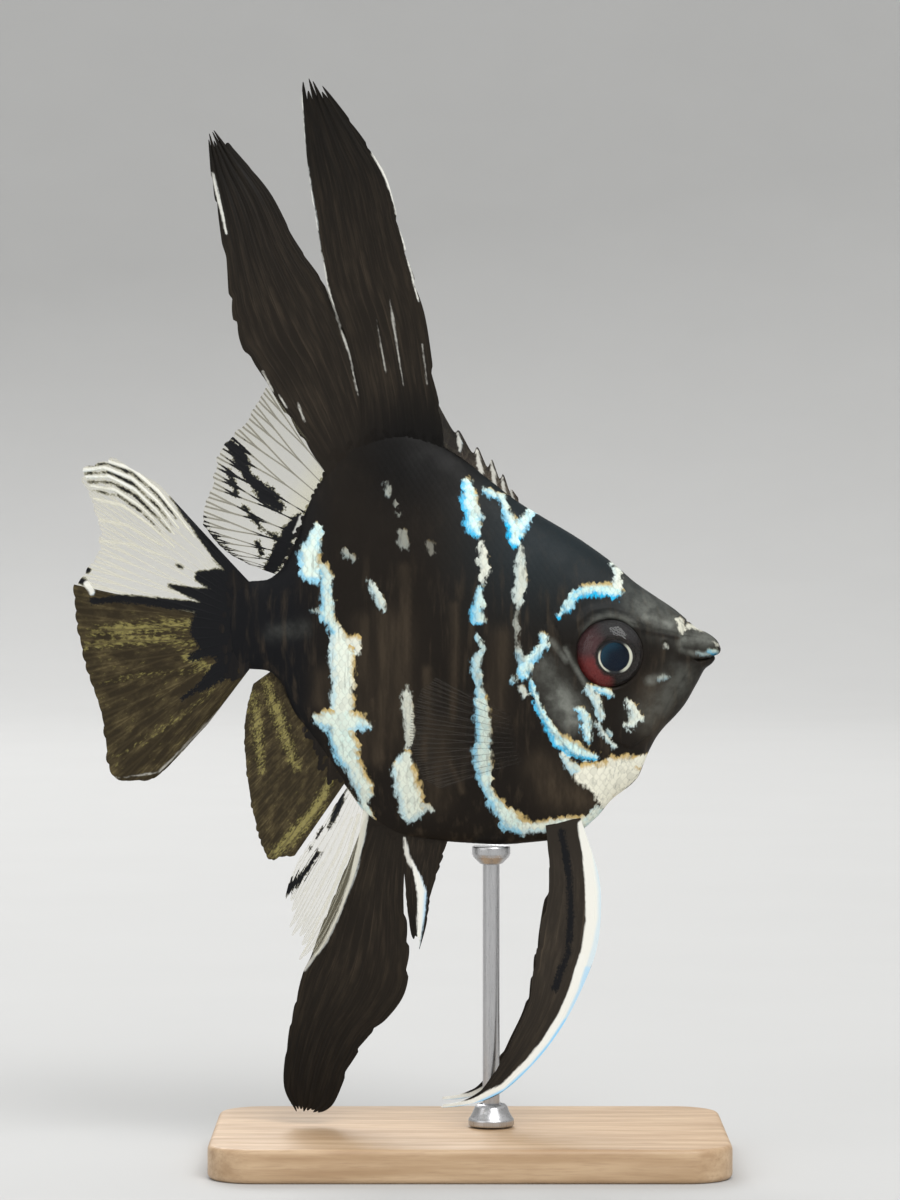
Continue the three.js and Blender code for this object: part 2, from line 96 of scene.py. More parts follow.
# Each round or long feature: how far it stands out, how far off, and its half width.
LID = (0.13, 0.3, 0.4)
LID_FOLD = (-0.1, 0.95, 0.3)
LIPS = (0.24, 0.7, 0.5)
MOUTH_GAP = (-0.5, 0, 0.15)
GILL_GROOVE = (-0.16, 0, 0.22)
PORE = (-0.12, 0, 0.22)
NOSTRIL = {"x": 28.7, "z": 76.9, "hole": (-0.4, 0, 0.34), "rim": (0.1, 0.6, 0.2)}
PORES = [(29.3, 73.8), (27.6, 71.4), (25.6, 69.4), (26.5, 80.6), (23, 84), (28.9, 79.2)]
# Folds and ridges: (line, how far it stands out, half width).
FOLDS = [(SNOUT_SHELF, -0.08, 0.3), (BROW, 0.32, 0.7), (CHEEK_GROOVE, -0.16, 0.26),
         (LIP_FOLD, -0.2, 0.22), (JAW_FOLD, -0.14, 0.22)]
# Edges raised on a line's left: (line, height, where it starts, where it is full, its fade).
EDGES = [(SNOUT_SHELF, 0.24, 0, 0.45, 1.6), (CHEEK_GROOVE, 0.12, 0, 0.3, 2.2)]
GILL_EDGE = (0.34, -0.05, 0.18, 4.5)


def smooth_line(points):
    """A smooth value along x through the points that never swings past them."""
    xs, ys = np.array(points, float).T
    width = np.diff(xs)
    slope = np.diff(ys) / width
    product = slope[:-1] * slope[1:]
    total = slope[:-1] + slope[1:]
    inner = np.where(product > 0, 2 * product / np.where(total == 0, 1, total), 0)
    tangent = np.concatenate([slope[:1], inner, slope[-1:]])

    def value(x):
        x = np.clip(x, xs[0], xs[-1])
        i = np.clip(np.searchsorted(xs, x) - 1, 0, len(width) - 1)
        t = (x - xs[i]) / width[i]
        u = 1 - t
        return ((1 + 2 * t) * u * u * ys[i] + t * t * (3 - 2 * t) * ys[i + 1]
                + t * u * width[i] * (u * tangent[i] - t * tangent[i + 1]))
    return value


back_at = smooth_line(BACK_LINE)
belly_at = smooth_line(BELLY_LINE)
half_width_at = smooth_line(HALF_WIDTH_LINE)
keenness_above_at = smooth_line(KEENNESS_ABOVE)
keenness_below_at = smooth_line(KEENNESS_BELOW)


def flank_at(x):
    return np.interp(x, [TAIL_X, NOSE_X], [PEDUNCLE_Z, MOUTH_Z])


def ease(value, start, end):
    t = np.clip((value - start) / (end - start), 0, 1)
    return t * t * (3 - 2 * t)


def bump(distance, width):
    return np.exp(-((distance / width) ** 2))


def stretches(line):
    return zip(line[:-1], line[1:])


def off_stretch(x, z, a, b):
    """How far from a to b each point lies, as a share, and its offset from there."""
    rx, rz = b[0] - a[0], b[1] - a[1]
    t = np.clip(((x - a[0]) * rx + (z - a[1]) * rz) / (rx * rx + rz * rz), 0, 1)
    return t, x - a[0] - rx * t, z - a[1] - rz * t


def near_line(x, z, line):
    """Distance from each point to a line in side view, and its side: 1 is the line's left."""
    best = np.full(np.shape(x), np.inf)
    side = np.ones(np.shape(x))
    for a, b in stretches(line):
        _, dx, dz = off_stretch(x, z, a, b)
        distance = np.hypot(dx, dz)
        closer = distance < best
        best = np.where(closer, distance, best)
        turn = (b[0] - a[0]) * dz - (b[1] - a[1]) * dx
        side = np.where(closer, np.sign(turn), side)
    return best, side


def from_spot(x, z, spot):
    return np.hypot(x - spot["x"], z - spot["z"])


def feature(distance, height, off, width):
    return height * bump(distance - off, width)


def orbit_relief(x, z):
    """The eye's hollow with the lid's soft rim around it and a fold above."""
    radius = np.hypot(x - ORBIT["x"], (z - ORBIT["z"]) * ORBIT["roundness"])
    angle = np.degrees(np.arctan2(z - ORBIT["z"], x - ORBIT["x"]))
    past = radius - ORBIT["radius"]
    return (-ORBIT["depth"] * (1 - ease(past, -ORBIT["wall"], 0))
            + feature(past, *LID) + feature(past, *LID_FOLD) * ease(angle, -20, 30))


def edge_relief(distance, side, height, start, end, fade):
    """An edge that stands out on a line's left and dies away from it."""
    return np.where(side > 0, height * ease(distance, start, end) * np.exp(-distance / fade), 0)


def relief(x, z):
    """How far the skin stands out from the plain body, in millimetres."""
    rise = orbit_relief(x, z)
    for line, height, width in FOLDS:
        rise += feature(near_line(x, z, line)[0], height, 0, width)
    for line, *shape in EDGES:
        rise += edge_relief(*near_line(x, z, line), *shape)
    gill, side = near_line(x, z, GILL_OPENING)
    cover = edge_relief(gill, side, *GILL_EDGE) + feature(gill, *GILL_GROOVE) * (side < 0)
    rise += cover * ease(z, 83, 78) * ease(x, 20, 16)
    slit, _ = near_line(x, z, MOUTH_SLIT)
    rise += (feature(slit, *LIPS) + feature(slit, *MOUTH_GAP)) * ease(x, 32.6, 34)
    nostril = from_spot(x, z, NOSTRIL)
    rise += feature(nostril, *NOSTRIL["rim"]) + feature(nostril, *NOSTRIL["hole"])
    for px, pz in PORES:
        rise += feature(np.hypot(x - px, z - pz), *PORE)
    return rise


# ------------------------------------------------------------------ the body's surface

def normals_of(x, y, z):
    """Outward normals of a sheet of points laid out in rows, for the left side."""
    along = np.stack([np.gradient(a, axis=0) for a in (x, y, z)], axis=-1)
    across = np.stack([np.gradient(a, axis=1) for a in (x, y, z)], axis=-1)
    normal = np.cross(across, along)
    return normal / np.maximum(np.linalg.norm(normal, axis=-1, keepdims=True), 1e-9)


def lengths_along(points):
    """The length of a line of points up to each of them."""
    steps = np.linalg.norm(np.diff(points, axis=0), axis=1)
    return np.concatenate([[0], np.cumsum(steps)])


def rings(xs, shares):
    """Side points (y, z) of the rings at xs; a share runs from -1, belly, to 1, back."""
    angles = np.linspace(-math.pi / 2, math.pi / 2, RING_STEPS)
    middle = len(angles) // 2
    flank = flank_at(xs)[:, None]
    above = back_at(xs)[:, None] - COAT_DEPTH - flank
    below = flank - belly_at(xs)[:, None] - COAT_DEPTH
    rise = np.sin(angles)[None, :]
    z = flank + np.where(rise > 0, above, below) * rise
    full = np.where(rise > 0, keenness_above_at(xs)[:, None], keenness_below_at(xs)[:, None])
    half = np.maximum(half_width_at(xs) - COAT_DEPTH, LEAST_HALF_WIDTH)[:, None]
    y = half * np.maximum(np.cos(angles), 0)[None, :] ** full
    ring_y, ring_z = np.empty((2, len(xs), len(shares)))
    lengths = np.empty((len(xs), 2))
    for i in range(len(xs)):
        arc = lengths_along(np.stack([y[i], z[i]], axis=-1))
        low, high = arc[middle], arc[-1] - arc[middle]
        target = low + np.where(shares < 0, shares * low, shares * high)
        ring_y[i] = np.interp(target, arc, y[i])
        ring_z[i] = np.interp(target, arc, z[i])
        lengths[i] = low, high
    return ring_y, ring_z, lengths


MAP_X = np.linspace(TAIL_X + 0.2, NOSE_X - 0.2, 560)
MAP_SHARE = np.linspace(-1, 1, 281)
map_y, map_z, map_lengths = rings(MAP_X, MAP_SHARE)
map_normals = normals_of(np.repeat(MAP_X[:, None], len(MAP_SHARE), axis=1), map_y, map_z)


def look_up(table, x, share):
    i = (x - MAP_X[0]) / (MAP_X[1] - MAP_X[0])
    j = (share + 1) / (MAP_SHARE[1] - MAP_SHARE[0])
    i0 = np.clip(i.astype(int), 0, len(MAP_X) - 2)
    j0 = np.clip(j.astype(int), 0, len(MAP_SHARE) - 2)
    u, v = np.clip(i - i0, 0, 1), np.clip(j - j0, 0, 1)
    if table.ndim == 3:
        u, v = u[..., None], v[..., None]
    low = table[i0, j0] * (1 - u) + table[i0 + 1, j0] * u
    high = table[i0, j0 + 1] * (1 - u) + table[i0 + 1, j0 + 1] * u
    return low * (1 - v) + high * v


def arcs_at(x):
    """The length of the skin from the flank line down to the belly and up to the back."""
    return [np.interp(x, MAP_X, map_lengths[:, k]) for k in (0, 1)]


def share_at(x, arc):
    """The share of a point that lies arc above (plus) or below the flank line."""
    low, high = arcs_at(x)
    return np.clip(np.where(arc > 0, arc / high, arc / low), -1, 1)


def skin_points(x, share, side, lift):
    """Points that stand lift outside the finished skin."""
    y, z = look_up(map_y, x, share), look_up(map_z, x, share)
    normal = look_up(map_normals, x, share)
    rise = relief(x, z) + lift
    return np.stack([x + normal[..., 0] * rise,
                     side * (y + normal[..., 1] * rise),
                     z + normal[..., 2] * rise], axis=-1)


# ------------------------------------------------------------------ markings and painted shadow lines

# The depth of a point that no mark reaches, in millimetres.
FAR_OUTSIDE = -6.0
# How much lying forward counts as lying above a mark, where its two rims are tinted.
BODY_LEAN = 0.45
FIN_LEAN = -0.9
# How the left side's marks wander: how far in millimetres, how often, and from where.
WANDER_ALONG = (1.3, 0.31, 0.8)
WANDER_UP = (1.1, 0.37, 1.9)

# Pale marks: (how blue, how strong, [(forward, up, half width), ...]).
PALE_MARKS = [
    # rear band
    (0.6, 1.0, [(-22.2, 94.0, 0.5), (-22.9, 92.0, 1.2), (-23.6, 90.0, 1.7), (-23.4, 87.8, 1.8),
                (-23.0, 86.9, 1.3)]),
    (0.6, 0.9, [(-21.6, 88.0, 0.9), (-20.9, 86.6, 0.9), (-21.0, 85.0, 0.9), (-20.8, 83.0, 1.1),
                (-20.9, 81.2, 1.3), (-19.8, 79.0, 0.9)]),
    (0.4, 0.6, [(-22.8, 81.6, 0.4), (-21.0, 81.4, 0.6)]),
    (0.3, 1.0, [(-19.6, 79.2, 0.7), (-19.0, 77.4, 1.4), (-18.6, 75.6, 2.1), (-18.6, 73.6, 1.9),
                (-18.5, 71.6, 1.7), (-18.7, 69.6, 1.7), (-18.7, 67.6, 1.9)]),
    (0.1, 0.9, [(-18.0, 77.0, 1.0), (-16.8, 77.2, 0.9), (-16.5, 75.6, 0.5)]),
    (0.5, 1.0, [(-22.3, 65.6, 0.8), (-20.5, 65.6, 1.8), (-18.5, 65.4, 2.3), (-16.2, 65.4, 1.4),
                (-14.7, 64.8, 0.8)]),
    (0.6, 1.0, [(-18.8, 63.2, 2.2), (-18.2, 61.6, 2.2), (-17.8, 60.2, 1.8)]),
    (0.4, 0.95, [(-17.4, 59.4, 1.4), (-16.5, 57.6, 1.5), (-15.7, 56.0, 1.5), (-15.4, 54.6, 1.2),
                 (-15.7, 53.0, 0.8), (-15.1, 51.2, 0.8), (-14.7, 50.2, 0.8)]),
    # belly mark behind the middle
    (0.1, 0.75, [(-9.1, 70.5, 0.4), (-9.2, 68.0, 0.8), (-8.9, 65.0, 0.9), (-8.9, 62.0, 0.6)]),
    (0.3, 1.0, [(-9.3, 60.4, 0.9), (-9.5, 58.0, 1.9), (-9.3, 56.0, 1.9), (-8.6, 54.0, 2.1),
                (-8.3, 52.6, 1.9), (-8.8, 51.4, 1.1)]),
    (0.2, 0.8, [(-8.0, 53.4, 1.0), (-5.7, 52.4, 0.5)]),
    # small flecks above it
    (0.2, 0.38, [(-18.1, 90.3, 0.5), (-17.0, 89.2, 0.4)]),
    (0.3, 0.8, [(-14.8, 86.2, 0.3), (-13.8, 84.8, 0.7), (-13.1, 83.0, 0.8), (-12.5, 81.8, 0.4)]),
    (0.2, 0.36, [(-12.2, 100.7, 0.3), (-12.0, 98.8, 0.3)]),
    (0.1, 0.26, [(-10.8, 97.6, 0.3), (-10.1, 95.8, 0.3)]),
    (0.1, 0.3, [(-9.9, 93.3, 0.7), (-9.6, 91.4, 0.8)]),
    (0.0, 0.18, [(-5.7, 91.4, 0.6), (-5.5, 90.6, 0.5)]),
    # middle band
    (0.9, 1.0, [(-0.3, 100.6, 0.8), (0.0, 98.6, 1.4), (0.3, 96.5, 1.2), (0.6, 94.2, 1.2),
                (1.2, 93.1, 0.7)]),
    (0.5, 0.8, [(0.8, 97.0, 0.8), (1.6, 95.6, 0.7)]),
    (0.1, 0.85, [(1.8, 91.8, 0.4), (2.0, 89.4, 0.8), (2.4, 88.0, 0.8), (1.9, 86.5, 0.6)]),
    (0.8, 0.9, [(1.6, 85.0, 0.6), (1.3, 82.6, 0.8), (1.3, 80.4, 0.9)]),
    (0.6, 0.8, [(1.2, 78.4, 0.4), (1.7, 76.2, 0.6), (1.2, 74.5, 0.6), (1.0, 72.5, 0.6),
                (1.4, 70.5, 0.5), (1.7, 68.5, 0.9)]),
    (0.6, 0.95, [(1.7, 68.5, 1.0), (2.0, 66.0, 1.2), (2.1, 63.0, 1.3), (2.0, 60.5, 1.4),
                 (2.2, 58.0, 1.2), (2.4, 55.8, 0.9), (3.2, 54.2, 0.9), (4.8, 52.4, 1.2),
                 (6.2, 50.8, 1.8), (7.4, 50.0, 1.3)]),
    (0.3, 1.0, [(7.4, 50.0, 1.2), (9.2, 49.6, 0.9), (12.0, 49.9, 1.2), (14.5, 50.4, 1.1),
                (16.5, 50.0, 1.3), (18.2, 50.9, 1.0), (19.3, 52.2, 0.6)]),
    # second band on the nape
    (0.7, 0.9, [(2.4, 99.4, 0.5), (3.3, 98.9, 0.6), (4.8, 98.3, 0.6), (5.4, 96.5, 0.6),
                (6.2, 94.8, 1.0)]),
    (1.0, 1.0, [(6.2, 94.8, 1.0), (6.8, 93.0, 1.3), (6.6, 91.8, 0.8)]),
    (0.7, 1.0, [(7.2, 93.6, 1.0), (8.4, 95.0, 0.9), (9.5, 96.4, 0.6)]),
    (0.2, 0.75, [(7.6, 91.0, 0.4), (7.6, 89.6, 0.5), (7.5, 87.8, 0.7), (7.6, 86.0, 0.9),
                 (7.3, 84.0, 0.8), (7.2, 82.4, 0.4)]),
    (0.1, 0.4, [(7.0, 81.4, 0.4), (7.0, 78.6, 0.3), (7.2, 76.5, 0.4)]),
    # gill cover
    (0.7, 1.0, [(10.9, 77.9, 0.7), (11.0, 76.8, 0.8), (9.9, 75.6, 0.8), (8.5, 74.5, 0.9),
                (8.2, 73.2, 1.1), (8.1, 72.2, 0.6)]),
    (0.5, 0.7, [(7.5, 75.6, 0.5), (8.0, 74.4, 0.9)]),
    (0.6, 0.7, [(6.6, 72.0, 0.4), (6.5, 71.4, 0.4)]),
    (0.2, 0.7, [(7.7, 70.3, 0.4), (8.3, 69.2, 0.3)]),
    (0.9, 1.0, [(9.0, 71.6, 0.3), (9.4, 70.0, 0.5), (9.9, 68.2, 0.6), (10.6, 66.8, 0.6),
                (11.6, 65.0, 0.7), (12.4, 63.8, 0.9), (13.3, 62.6, 1.2), (14.8, 61.8, 1.3),
                (16.4, 60.9, 1.3), (17.8, 60.3, 0.9), (19.0, 60.0, 0.4)]),
    (0.7, 1.0, [(16.5, 67.0, 0.7), (17.0, 65.8, 0.9), (17.2, 64.0, 0.8), (17.3, 62.8, 0.5)]),
    # brow
    (1.0, 0.9, [(13.3, 81.0, 0.35), (14.5, 82.3, 0.6), (15.4, 83.8, 0.8), (16.5, 84.6, 1.0),
                (18.5, 84.8, 1.1), (20.3, 84.8, 1.1), (21.6, 84.4, 1.0)]),
    (0.2, 0.95, [(21.7, 85.0, 0.8), (22.0, 86.6, 0.6), (21.8, 87.8, 0.5), (21.1, 88.6, 0.3)]),
    # cheek
    (0.4, 0.95, [(17.6, 70.3, 0.7), (18.5, 69.0, 0.8), (19.0, 67.5, 0.8), (19.6, 65.9, 0.5)]),
    (0.7, 0.9, [(18.2, 70.2, 0.6), (19.8, 69.9, 0.6), (20.7, 69.4, 0.5)]),
    (0.3, 0.85, [(18.9, 65.0, 0.3), (20.0, 63.1, 0.4), (21.3, 61.8, 0.35)]),
    (0.5, 0.7, [(20.3, 64.2, 0.3), (20.9, 63.5, 0.3)]),
    (0.2, 0.95, [(23.1, 68.5, 0.4), (24.2, 67.2, 0.8), (24.7, 66.0, 0.8), (23.9, 65.0, 0.7),
                 (23.1, 64.8, 0.4)]),
    # throat
    (0.4, 0.9, [(13.8, 60.4, 0.5), (14.6, 59.2, 0.9), (16.0, 58.4, 1.0)]),
    (0.0, 1.0, [(17.3, 57.6, 1.9), (20.6, 56.9, 2.9), (23.4, 58.3, 2.1)]),
    (0.0, 1.0, [(20.3, 56.2, 2.5), (20.2, 54.3, 1.5), (20.2, 52.9, 0.7)]),
    (0.0, 1.0, [(21.6, 59.0, 1.5), (24.4, 59.2, 1.3), (26.0, 59.9, 0.7)]),
    # snout
    (0.0, 0.7, [(30.9, 80.3, 0.4), (31.2, 79.2, 0.6), (31.4, 78.2, 0.3)]),
    (0.0, 0.65, [(32.2, 79.3, 0.3), (33.6, 79.2, 0.35), (34.6, 78.8, 0.25)]),
    (0.0, 0.5, [(35.9, 77.1, 0.2), (36.6, 76.6, 0.25)]),
    (1.0, 0.5, [(35.4, 75.6, 0.4), (36.4, 75.5, 0.5)]),
    (0.4, 0.3, [(35.4, 75.2, 0.25), (34.2, 75.3, 0.3), (33.4, 75.6, 0.25)]),
    (0.1, 0.5, [(28.8, 76.7, 0.25), (28.9, 76.4, 0.25)]),
    (0.4, 0.4, [(27.9, 71.7, 0.4), (28.9, 72.0, 0.45)]),
]

# Soft greys and browns over the black: (strength, reach, [(forward, up), ...]).
GREY_HAZE = [
    (0.4, 2.0, [(10.8, 73.4), (12.0, 71.4)]),
    (0.85, 2.0, [(13.2, 69.2), (14.4, 67.4), (15.2, 66.0)]),
    (0.6, 0.35, [(14.0, 76.2), (15.0, 74.2), (16.2, 72.4), (17.0, 70.8)]),
    (0.5, 0.4, [(12.0, 77.4), (13.2, 75.6), (14.2, 74.4)]),
    (0.45, 0.6, [(17.2, 78.8), (18.4, 80.4), (20.4, 81.1), (22.6, 80.7), (24.4, 79.6)]),
    (0.5, 2.3, [(25.4, 82.8), (27.6, 81.0), (29.6, 79.8)]),
    (0.8, 0.9, [(26.0, 80.7), (28.2, 80.1), (29.6, 79.6)]),
    (0.25, 1.6, [(22.6, 85.4), (24.6, 83.6)]),
    (0.62, 1.2, [(31.4, 77.4), (33.4, 77.8), (35.2, 77.4)]),
    (0.45, 0.5, [(31.2, 76.0), (33.0, 75.4), (34.6, 75.2), (36.2, 75.6)]),
    (0.6, 0.7, [(26.6, 71.4), (28.8, 71.9)]),
    (0.3, 2.4, [(26.2, 66.4), (29.0, 69.0), (31.2, 72.0)]),
    (0.14, 1.2, [(-24.5, 79.0), (-29.0, 78.4)]),
]
BROWN_HAZE = [
    (0.9, 2.6, [(11.0, 58.4), (12.5, 54.6), (17.0, 54.0)]),
    (0.75, 0.8, [(-9.5, 88.0), (-9.2, 78.0), (-9.0, 70.0)]),
    (0.8, 0.8, [(-6.3, 73.0), (-6.2, 66.0), (-6.6, 60.0)]),
    (0.75, 1.4, [(-12.6, 81.0), (-12.4, 70.0), (-13.6, 60.0)]),
    (0.8, 0.6, [(-14.2, 68.5), (-13.7, 64.0), (-12.8, 60.0)]),
    (0.7, 0.7, [(-2.2, 82.5), (-1.9, 78.0), (-2.4, 66.0)]),
    (0.8, 0.5, [(-3.4, 61.0), (-2.2, 58.0), (-1.0, 55.0)]),
    (0.6, 2.4, [(-4.0, 64.0), (-5.0, 54.0)]),
    (0.6, 1.6, [(4.6, 78.0), (4.2, 66.0)]),
    (0.7, 2.4, [(27.0, 70.0), (27.5, 64.5)]),
    (0.6, 1.6, [(-21.5, 72.0), (-22.0, 68.0)]),
    (0.5, 1.6, [(-15.5, 80.0), (-15.2, 60.0)]),
    (0.6, 3.2, [(-11.4, 79.0), (-11.0, 64.0)]),
]
# Painted shadow lines under the snout's shelf and under the upper lip, that part the greys of
# the head: (strength, reach, [(forward, up), ...]).
PAINTED_SHADOW_LINES = [
    (1.0, 0.45, [(24.4, 79.0), (26.4, 78.5), (28.6, 78.1), (30.6, 77.7)]),
    (0.8, 0.5, [(31.0, 74.9), (33.4, 74.2), (36.0, 74.9)]),
]


def paint(x, z, marks, lean):
    """Depth inside the marks, in millimetres, with that mark's tint, strength and side."""
    depth = np.full(np.shape(x), FAR_OUTSIDE)
    tint, might, above = np.zeros((3, *np.shape(x)))
    for shade, strength, line in marks:
        for a, b in stretches(line):
            t, dx, dz = off_stretch(x, z, a, b)
            inside = a[2] + (b[2] - a[2]) * t - np.hypot(dx, dz)
            closer = inside > depth
            depth = np.where(closer, inside, depth)
            tint = np.where(closer, shade, tint)
            might = np.where(closer, strength, might)
            above = np.where(closer, dz + lean * dx, above)
    return depth, tint, might, above


def depth_inside(x, z, lines):
    return paint(x, z, [(0, 0, line) for line in lines], 0)[0]


def haze(x, z, strokes):
    value = np.zeros(np.shape(x))
    for strength, reach, line in strokes:
        value = np.maximum(value, strength * bump(near_line(x, z, line)[0], reach))
    return value


def wave(value, reach, pace, start):
    return reach * np.sin(value * pace + start)


def body_marks(x, z, side):
    """The body's markings, with painted shadow lines on the head; the left side's wander a
    little from the right side's.
    """
    wander = side > 0
    mx = x + wander * wave(z, *WANDER_ALONG)
    mz = z + wander * wave(x, *WANDER_UP)
    pale, blue, might, above = paint(mx, mz, PALE_MARKS, BODY_LEAN)
    # Painted shadow lines under the snout's shelf and the upper lip take grey away.
    grey = haze(x, z, GREY_HAZE) * (1 - haze(x, z, PAINTED_SHADOW_LINES))
    return {"pale": pale, "blue": blue, "might": might, "above": above,
            "grey": grey, "brown": haze(mx, mz, BROWN_HAZE)}


# ------------------------------------------------------------------ making meshes

# Turns and steps of the round pieces.
SKIN_MESH = (280, 320)
EYE_MESH = (96, 64)
STAND_MESH = (64, 60)
FLOOR_MESH = (96, 64)
# Edges sharper than this, in degrees, stay sharp.
SHARP = {"scales": 60, "fins": 50, "metal": 40, "wood": 30}


def named(name):
    piece = bpy.context.object
    piece.name = name
    piece.data.name = name
    return piece


def make_active(piece):
    bpy.ops.object.select_all(action="DESELECT")
    piece.select_set(True)
    bpy.context.view_layer.objects.active = piece


@contextmanager
def editing(piece):
    make_active(piece)
    bpy.ops.object.mode_set(mode="EDIT")
    yield
    bpy.ops.object.mode_set(mode="OBJECT")


def apply_modifiers(piece):
    make_active(piece)
    for modifier in list(piece.modifiers):
        bpy.ops.object.modifier_apply(modifier=modifier.name)


def place(piece, points):
    """Puts every vertex at its point, given in millimetres."""
    piece.data.vertices.foreach_set("co", (np.asarray(points) * MM).ravel())
    piece.data.update()


def corners_of(piece):
    points = np.empty(len(piece.data.vertices) * 3)
    piece.data.vertices.foreach_get("co", points)
    return points.reshape(-1, 3)


def ball(name, turns, steps):
    """A ball, with each corner's share of the way from its top to its foot, and its turn."""
    bpy.ops.mesh.primitive_uv_sphere_add(segments=turns, ring_count=steps, radius=1)
    piece = named(name)
    at = corners_of(piece)
    share = np.arccos(np.clip(at[:, 2], -1, 1)) / math.pi
    return piece, share, np.arctan2(at[:, 1], at[:, 0])


def around(x, radius, turn, height):
    """Points about an upright line at x."""
    return np.stack([x + radius * np.cos(turn), radius * np.sin(turn), height], axis=-1)


def smooth(piece, angle=None):
    make_active(piece)
    if angle is None:
        bpy.ops.object.shade_smooth()
    else:
        bpy.ops.object.shade_smooth_by_angle(angle=math.radians(angle))


def face_outward(piece):
    with editing(piece):
        bpy.ops.mesh.select_all(action="SELECT")
        bpy.ops.mesh.normals_make_consistent(inside=False)


def store(piece, values):
    for name, value in values.items():
        kind, key = ("FLOAT_VECTOR", "vector") if np.ndim(value) == 2 else ("FLOAT", "value")
        layer = piece.data.attributes.new(name, kind, "POINT")
        layer.data.foreach_set(key, np.asarray(value, float).ravel())


def finish_piece(piece, material, slot, *nodes):
    piece.data.materials.clear()
    piece.data.materials.append(material)
    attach(piece, "root")
    if nodes:
        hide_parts(*nodes)


# ------------------------------------------------------------------ materials

class Value:
    """A number, colour or place that nodes work out; what is done to it adds more nodes."""

    def __init__(self, tree, socket):
        self.tree = tree
        self.socket = socket

    def sum(self, operation, *others):
        inputs = dict(enumerate((self, *others)))
        return add_node(self.tree, "ShaderNodeMath", 0, inputs, operation=operation)

    def __add__(self, other):
        return self.sum("ADD", other)

    def __sub__(self, other):
        return self.sum("SUBTRACT", other)

    def __mul__(self, other):
        return self.sum("MULTIPLY", other)

    def most(self, other):
        return self.sum("MAXIMUM", other)

    def ramp(self, start, end, low=0.0, high=1.0):
        """Runs smoothly from low to high as the number runs from start to end."""
        return add_node(self.tree, "ShaderNodeMapRange", "Result",
                        {"Value": self, "From Min": start, "From Max": end,
                         "To Min": low, "To Max": high}, interpolation_type="SMOOTHSTEP")

    def between(self, a, b):
        """The number that lies this share of the way from a to b."""
        return add_node(self.tree, "ShaderNodeMix", 0, {0: self, 2: a, 3: b})

    def blend(self, a, b):
        """The colour that lies this share of the way from a to b."""
        return add_node(self.tree, "ShaderNodeMix", 2, {0: self, 6: a, 7: b}, data_type="RGBA")

    def place_sum(self, operation, other, output=0):
        return add_node(self.tree, "ShaderNodeVectorMath", output, {0: self, 1: other},
                        operation=operation)

    def length(self):
        return self.place_sum("LENGTH", (0, 0, 0), "Value")

    def part(self, axis):
        return add_node(self.tree, "ShaderNodeSeparateXYZ", axis, {0: self})

    def stretched(self, x, y, z):
        return add_node(self.tree, "ShaderNodeMapping", "Vector",
                        {"Vector": self, "Scale": (x, y, z)})

    def grain(self, scale, detail, roughness):
        return add_node(self.tree, "ShaderNodeTexNoise", "Fac",
                        {"Vector": self, "Scale": scale, "Detail": detail,
                         "Roughness": roughness})

    def noise(self, size_mm, detail=3.0, roughness=0.55):
        return self.grain(1 / (size_mm * MM), detail, roughness)

    def wobble(self, size_mm, reach, stretch=(1, 1, 1), detail=3.0):
        """Noise about zero, reach from peak to peak."""
        return (self.stretched(*stretch).noise(size_mm, detail, 0.6) - 0.5) * reach


def feed(tree, node, inputs):
    """Gives a node its inputs: a worked-out value is linked, a plain one is set."""
    for key, value in inputs.items():
        if isinstance(value, Value):
            tree.links.new(value.socket, node.inputs[key])
        else:
            node.inputs[key].default_value = value


def add_node(tree, kind, output, inputs, **settings):
    node = tree.nodes.new(kind)
    for key, value in settings.items():
        setattr(node, key, value)
    feed(tree, node, inputs)
    return Value(tree, node.outputs[output])


class Finish:
    """A material in the making."""

    def __init__(self, name):
        self.material = bpy.data.materials.new(name)
        self.material.use_nodes = True
        self.tree = self.material.node_tree
        self.where = add_node(self.tree, "ShaderNodeTexCoord", "Object", {})

    def stored(self, name, output="Fac"):
        """A value that the mesh carries."""
        return add_node(self.tree, "ShaderNodeAttribute", output, {}, attribute_name=name)

    def surface(self, inputs, height=None, strength=0.0, depth_mm=0.0):
        """Feeds the surface and its fine relief, and gives the material."""
        shader = self.tree.nodes["Principled BSDF"]
        feed(self.tree, shader, inputs)
        if height:
            fine = add_node(self.tree, "ShaderNodeBump", "Normal",
                            {"Strength": strength, "Distance": depth_mm * MM, "Height": height})
            feed(self.tree, shader, {"Normal": fine})
        return self.material


def colour(r, g, b):
    return (r, g, b, 1.0)


COAL = colour(0.0115, 0.009, 0.0068)
NAPE = colour(0.014, 0.020, 0.023)
UMBER = colour(0.06, 0.0445, 0.029)
SLATE = colour(0.215, 0.225, 0.20)
PEARL = colour(0.59, 0.88, 0.85)
BONE = colour(0.84, 0.83, 0.70)
AZURE = colour(0.004, 0.45, 0.80)
AMBER = colour(0.56, 0.36, 0.07)
FIN_WHITE = colour(0.78, 0.77, 0.7)
FIN_GLINT = colour(0.78, 0.79, 0.75)
FIN_BLUE = colour(0.22, 0.56, 0.86)
INK = colour(0.006, 0.0064, 0.0076)
INKY = colour(0.0135, 0.0105, 0.0075)
SMOKE = colour(0.026, 0.019, 0.009)
# The deepest black: the fins' own black tips, and the painted shade about the tall fin's foot.
TIP_BLACK_AND_PAINTED_SHADE = colour(0.002, 0.002, 0.002)
# Where the skin's ground changes, in millimetres: up and forward to the nape, back to the tail.
NAPE_UP = (74 * MM, 92 * MM)
NAPE_FORWARD = (-8 * MM, 10 * MM)
TAIL_BACK = (-19 * MM, -27 * MM)
PLAIN_UP = (80 * MM, 92 * MM)
